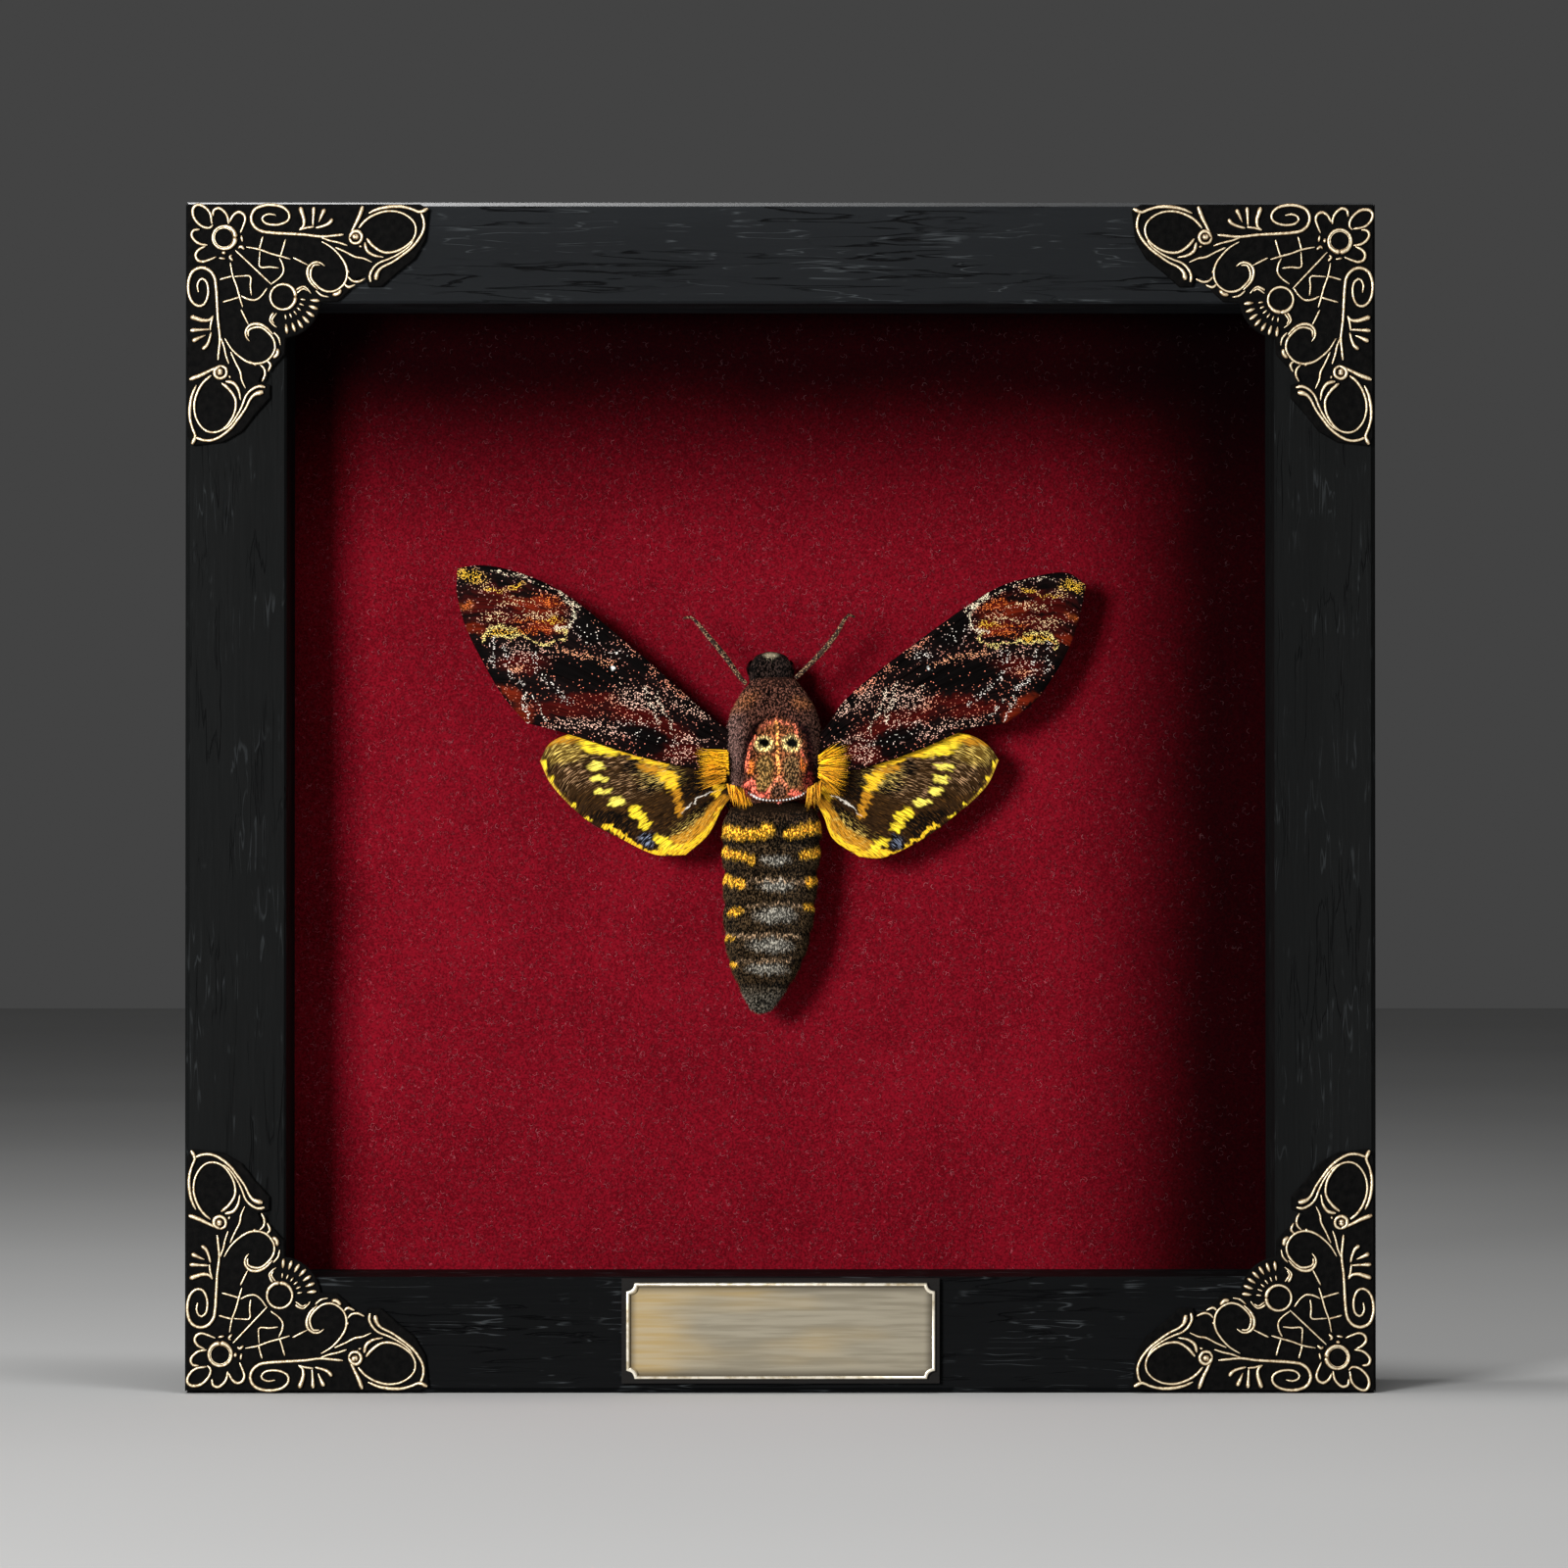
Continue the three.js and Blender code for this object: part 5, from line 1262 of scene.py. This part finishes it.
long = fur.times(fur.read("hair", "FLOAT"), fur.chance(0.6, 1.25, 7))
shape = {0: fur.times(width, 0.45), 1: width, 2: long}
size = fur.node("ShaderNodeCombineXYZ", None, shape).outputs[0]
cone = {"Vertices": 3, "Side Segments": 1, "Radius Top": 0.0, "Radius Bottom": 1.0, "Depth": 1.0}
tuft = fur.local(fur.node("GeometryNodeMeshCone", None, cone).outputs["Mesh"])
roots = fur.store(spread["Points"], "tone", fur.chance(0.0, 1.0, 13), "FLOAT", "POINT")
fur.finish(patch_map(fur, fur.placed(roots, tuft, Rotation=turned, Scale=size)))

moth_fur = Finish("moth_fur", 0.65, Specular_IOR_Level=0.05)
tone = moth_fur.painted("tone", "Fac")
tip = moth_fur.part(moth_fur.painted("local", "Vector"), "Z")
clump = moth_fur.step(moth_fur.noise(3300, 1.5, (1, 1, 0.7)), 0.5, 0.58)
paint_red = moth_fur.node("ShaderNodeSeparateColor", None, {0: moth_fur.painted("paint")})
pale = moth_fur.step(paint_red, 0.1, 0.25)
dappled = clump * (tone * 3.2 + 2.0) * (1 - pale) + clump * (tone * 1.9 + 1.3) * pale
dappled = dappled + pale * 0.24 + 0.12
light = dappled * (moth_fur.step(tip, -0.2, 0.6) * 0.4 + 0.7)
moth_fur.feed("Base Color", moth_fur.dimmed(moth_fur.painted("paint"), light))
moth_fur.feed("Roughness", 0.72 - tone * 0.15)
moth_skin = Finish("moth_skin", 0.8, Specular_IOR_Level=0.03)
moth_skin.feed("Base Color", moth_skin.dimmed(moth_skin.painted("paint"), 0.4))
moth_skin.bump(moth_skin.noise(3000, 2), 0.1 * MM)

TUFT_WIDTH = 0.085 * MM
segments = [(ABDOMEN_TOP, 0)]
for (z, radius), (next_z, next_radius) in zip(SEGMENT_ENDS, SEGMENT_ENDS[1:]):
    segments += [(z, radius * GROOVE)]
    fall, shrink = next_z - z, next_radius - radius
    segments += [(z + fall * k, (radius + shrink * k) * SWELL) for k in (0.25, 0.75)]
segments += [SEGMENT_ENDS[-1], (ABDOMEN_TIP, 0)]
BODY = {  # profile, place behind the wings' plane, depth of coat, sides, paint, slot, tufts for each mm2
    "thorax": (THORAX, 1.0, 0.4, 260, paint_thorax, "thorax_fur", 110),
    "head": (HEAD, 1.4, 0.25, 120, paint_head, "thorax_fur", 50),
    "abdomen": (segments[::-1], 1.4, 0.5, 200, paint_abdomen, "abdomen_fur", 40),
}
for name, (profile, behind, coat, sides, paint, slot, tufts) in BODY.items():
    skin = body_skin(name, profile, behind, coat, sides, paint)
    growth = {"Density": tufts / MM**2, "Width": TUFT_WIDTH, "Mess": 0.14, "Seed": 5}
    grown = fur.run(skin.copy(), name + "_fur", Material=moth_fur.material, **growth)
    add_piece(name + "_skin", skin, moth_skin, slot, [name])
    add_piece(name + "_fur", grown, moth_fur, slot)


# Brushes and fringe.
# Long yellow hairs spread from the roots of the hindwings and beside the thorax's rear edge, which is sewn
# with a fringe of small white scales like beads, and has one pink spike in its middle.
BRUSHES = [  # in photograph pixels: where the hairs root, from and to; which way they lie; length; tint
    ((741, 764), (742, 790), (-1.0, -0.05), 4.4, (246, 186, 34)),
    ((737, 768), (739, 797), (-1.0, 0.35), 3.8, (226, 160, 36)),
    ((838, 768), (837, 792), (1.0, -0.05), 4.2, (246, 186, 34)),
    ((841, 772), (840, 799), (1.0, 0.35), 3.6, (226, 160, 36)),
    ((742, 800), (766, 808), (0.2, 1.0), 2.9, (236, 166, 36)),
    ((824, 805), (840, 796), (-0.15, 1.0), 2.9, (226, 160, 44)),
    ((793, 813), (797, 813), (0.05, 1.0), 1.5, (232, 128, 110)),
]
BRUSH_DEPTH = -1.6  # millimetres behind the forewings' plane, so in front of it
STRIP_HALF, STRIP_ROWS = 3, 9  # half width in pixels of the strip that a brush roots in, and its rows
SPRAY = 0.35  # how far the outermost hairs turn from the way the brush lies


def brush_patch(start, end, way):
    """Places on a narrow strip along the hairs' roots."""
    along = np.linspace(0, 1, STRIP_ROWS)[:, None]
    across = np.linspace(-1, 1, 3)[None, :]
    x, y = (a + (b - a) * along + lie * STRIP_HALF * across for a, b, lie in zip(start, end, way))
    u, w = from_pixel(x, y)
    d = BRUSH_DEPTH - 0.9 * np.sin(np.pi * along) + 0.3 * across
    return np.stack([u, d, w], -1) * MM + np.array(MOTH)


brush_mesh = bpy.data.meshes.new("brush_roots")
points, faces, lies, hairs, tints = [], [], [], [], []
for start, end, way, hair, tint in BRUSHES:
    grid = brush_patch(start, end, way)
    rows, columns = grid.shape[:2]
    places = grid.reshape(-1, 3)
    squares = quads(np.arange(rows * columns).reshape(rows, columns))
    a, b, c = places[squares[0][:3]]
    if np.cross(b - a, c - a)[1] > 0:
        squares = squares[:, ::-1]
    faces += (squares + len(points)).tolist()
    points += places.tolist()
    spray = np.linspace(-SPRAY, SPRAY, rows).repeat(columns)
    lies += [(way[0] - way[1] * s, -0.12, -way[1] - way[0] * s) for s in spray]
    hairs += [hair * MM] * len(places)
    tints += [linear(*tint)] * len(places)
brush_mesh.from_pydata(points, [], faces)
count, in_row = len(points), 9  # roots in all, and in one row of the bake map
rows = count / in_row + 1
roots = [(0.02 + 0.96 * (k % in_row) / in_row, 0.02 + 0.96 * (k // in_row) / rows, 0) for k in range(count)]
store_coat(brush_mesh, tints, lies, hairs, np.full(count, 0.12), np.ones(count), roots)
brush_fur = Finish("brush_fur", 0.55, Specular_IOR_Level=0.1)
tone = brush_fur.painted("tone", "Fac")
tip = brush_fur.part(brush_fur.painted("local", "Vector"), "Z")
light = (brush_fur.step(tone, 0.15, 0.85) * 1.7 + 0.1) * (brush_fur.step(tip, -0.5, 0.3) * 0.7 + 0.45)
brush_fur.feed("Base Color", brush_fur.dimmed(brush_fur.painted("paint"), light))
brush_fur.feed("Roughness", 0.6 - tone * 0.15)
growth = {"Density": 42 / MM**2, "Width": TUFT_WIDTH, "Mess": 0.34, "Seed": 9}
brush_hairs = fur.run(brush_mesh, "brush_hairs", Material=brush_fur.material, **growth)
add_piece("brush_hairs", brush_hairs, brush_fur, "thorax_fur")

fringe = Tree("bead_fringe", Count="Int", Material="Material")
line = {"Curve": fringe.source["Geometry"], "Count": fringe.source["Count"]}
dots = fringe.node("GeometryNodeCurveToPoints", None, line).outputs["Points"]
ball = {"Radius": 1.0, "Subdivisions": 2}
bead = fringe.node("GeometryNodeMeshIcoSphere", None, ball).outputs["Mesh"]
girth = fringe.node("GeometryNodeInputRadius").outputs[0]
fringe.finish(fringe.placed(dots, bead, Scale=girth))

FRINGE_LINE = [
    (760, 804), (767, 809), (773, 813), (780, 815), (787, 815.5), (793, 815.5), (801, 815), (807, 814),
    (813, 812), (818, 810), (823, 806), (827, 801),
]
FRINGE_SIZES = (0.28, 0.32, 0.28, 0.2, 0.18, 0.16, 0.18, 0.2, 0.2, 0.18, 0.17, 0.15)
FRINGE_BEADS = 25
FRINGE_REACH = 6.4  # radius of the thorax at the fringe
fringe_places = []
for pixel in FRINGE_LINE:
    u, w = from_pixel(*pixel)
    d = 1.0 - FLATNESS * math.sqrt(max(0.0, FRINGE_REACH**2 - u * u)) * 0.92
    fringe_places.append(MOTH + Vector((u, d, w)) * MM)
fringe_curve = new_curve("fringe_line")
add_line(fringe_curve, fringe_places, [size * MM for size in FRINGE_SIZES])
white_scales = Finish("white_scales", 0.5)
chalk = white_scales.noise(2500, 2)
white_scales.tint(chalk, (0.3, linear(205, 190, 180)), (0.6, linear(250, 248, 244)))
white_scales.bump(chalk, 0.04 * MM)
fringe_mesh = fringe.run(fringe_curve, "bead_fringe", Count=FRINGE_BEADS, Material=white_scales.material)
fringe_mesh.shade_smooth()
add_piece("bead_fringe", fringe_mesh, white_scales, "thorax_fur")


# Eyes, feelers and legs.
# Dark glossy eyes, short thick feelers with hooked tips, and legs folded under the body, mostly out of
# the viewer's sight. Feelers and legs are dusted with pale scales.
eye_gloss = Finish("eye_gloss", 0.14, Coat_Weight=0.5)
facets = eye_gloss.node("ShaderNodeTexVoronoi", None, {"Vector": eye_gloss.place(), "Scale": 4000})
eye_gloss.tint(facets, (0.0, (0.006, 0.005, 0.005)), (0.6, (0.002, 0.002, 0.002)))
eye_gloss.bump(facets, 0.02 * MM)
horn = Finish("horn_scales", 0.6, Specular_IOR_Level=0.2)
where, bright = specks(horn, 4600, 0.36)
ring_tone = horn.ramp(horn.noise(1500, 2), (0.4, linear(28, 18, 15)), (0.62, linear(74, 50, 38)))
horn.feed("Base Color", horn.mix(where * bright, ring_tone, linear(190, 150, 112)))
horn.bump(where, 0.05 * MM)
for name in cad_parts:
    if name.startswith("eye_"):
        give_finish(name, eye_gloss)
    elif name.startswith(("leg_", "antenna_")):
        give_finish(name, horn)
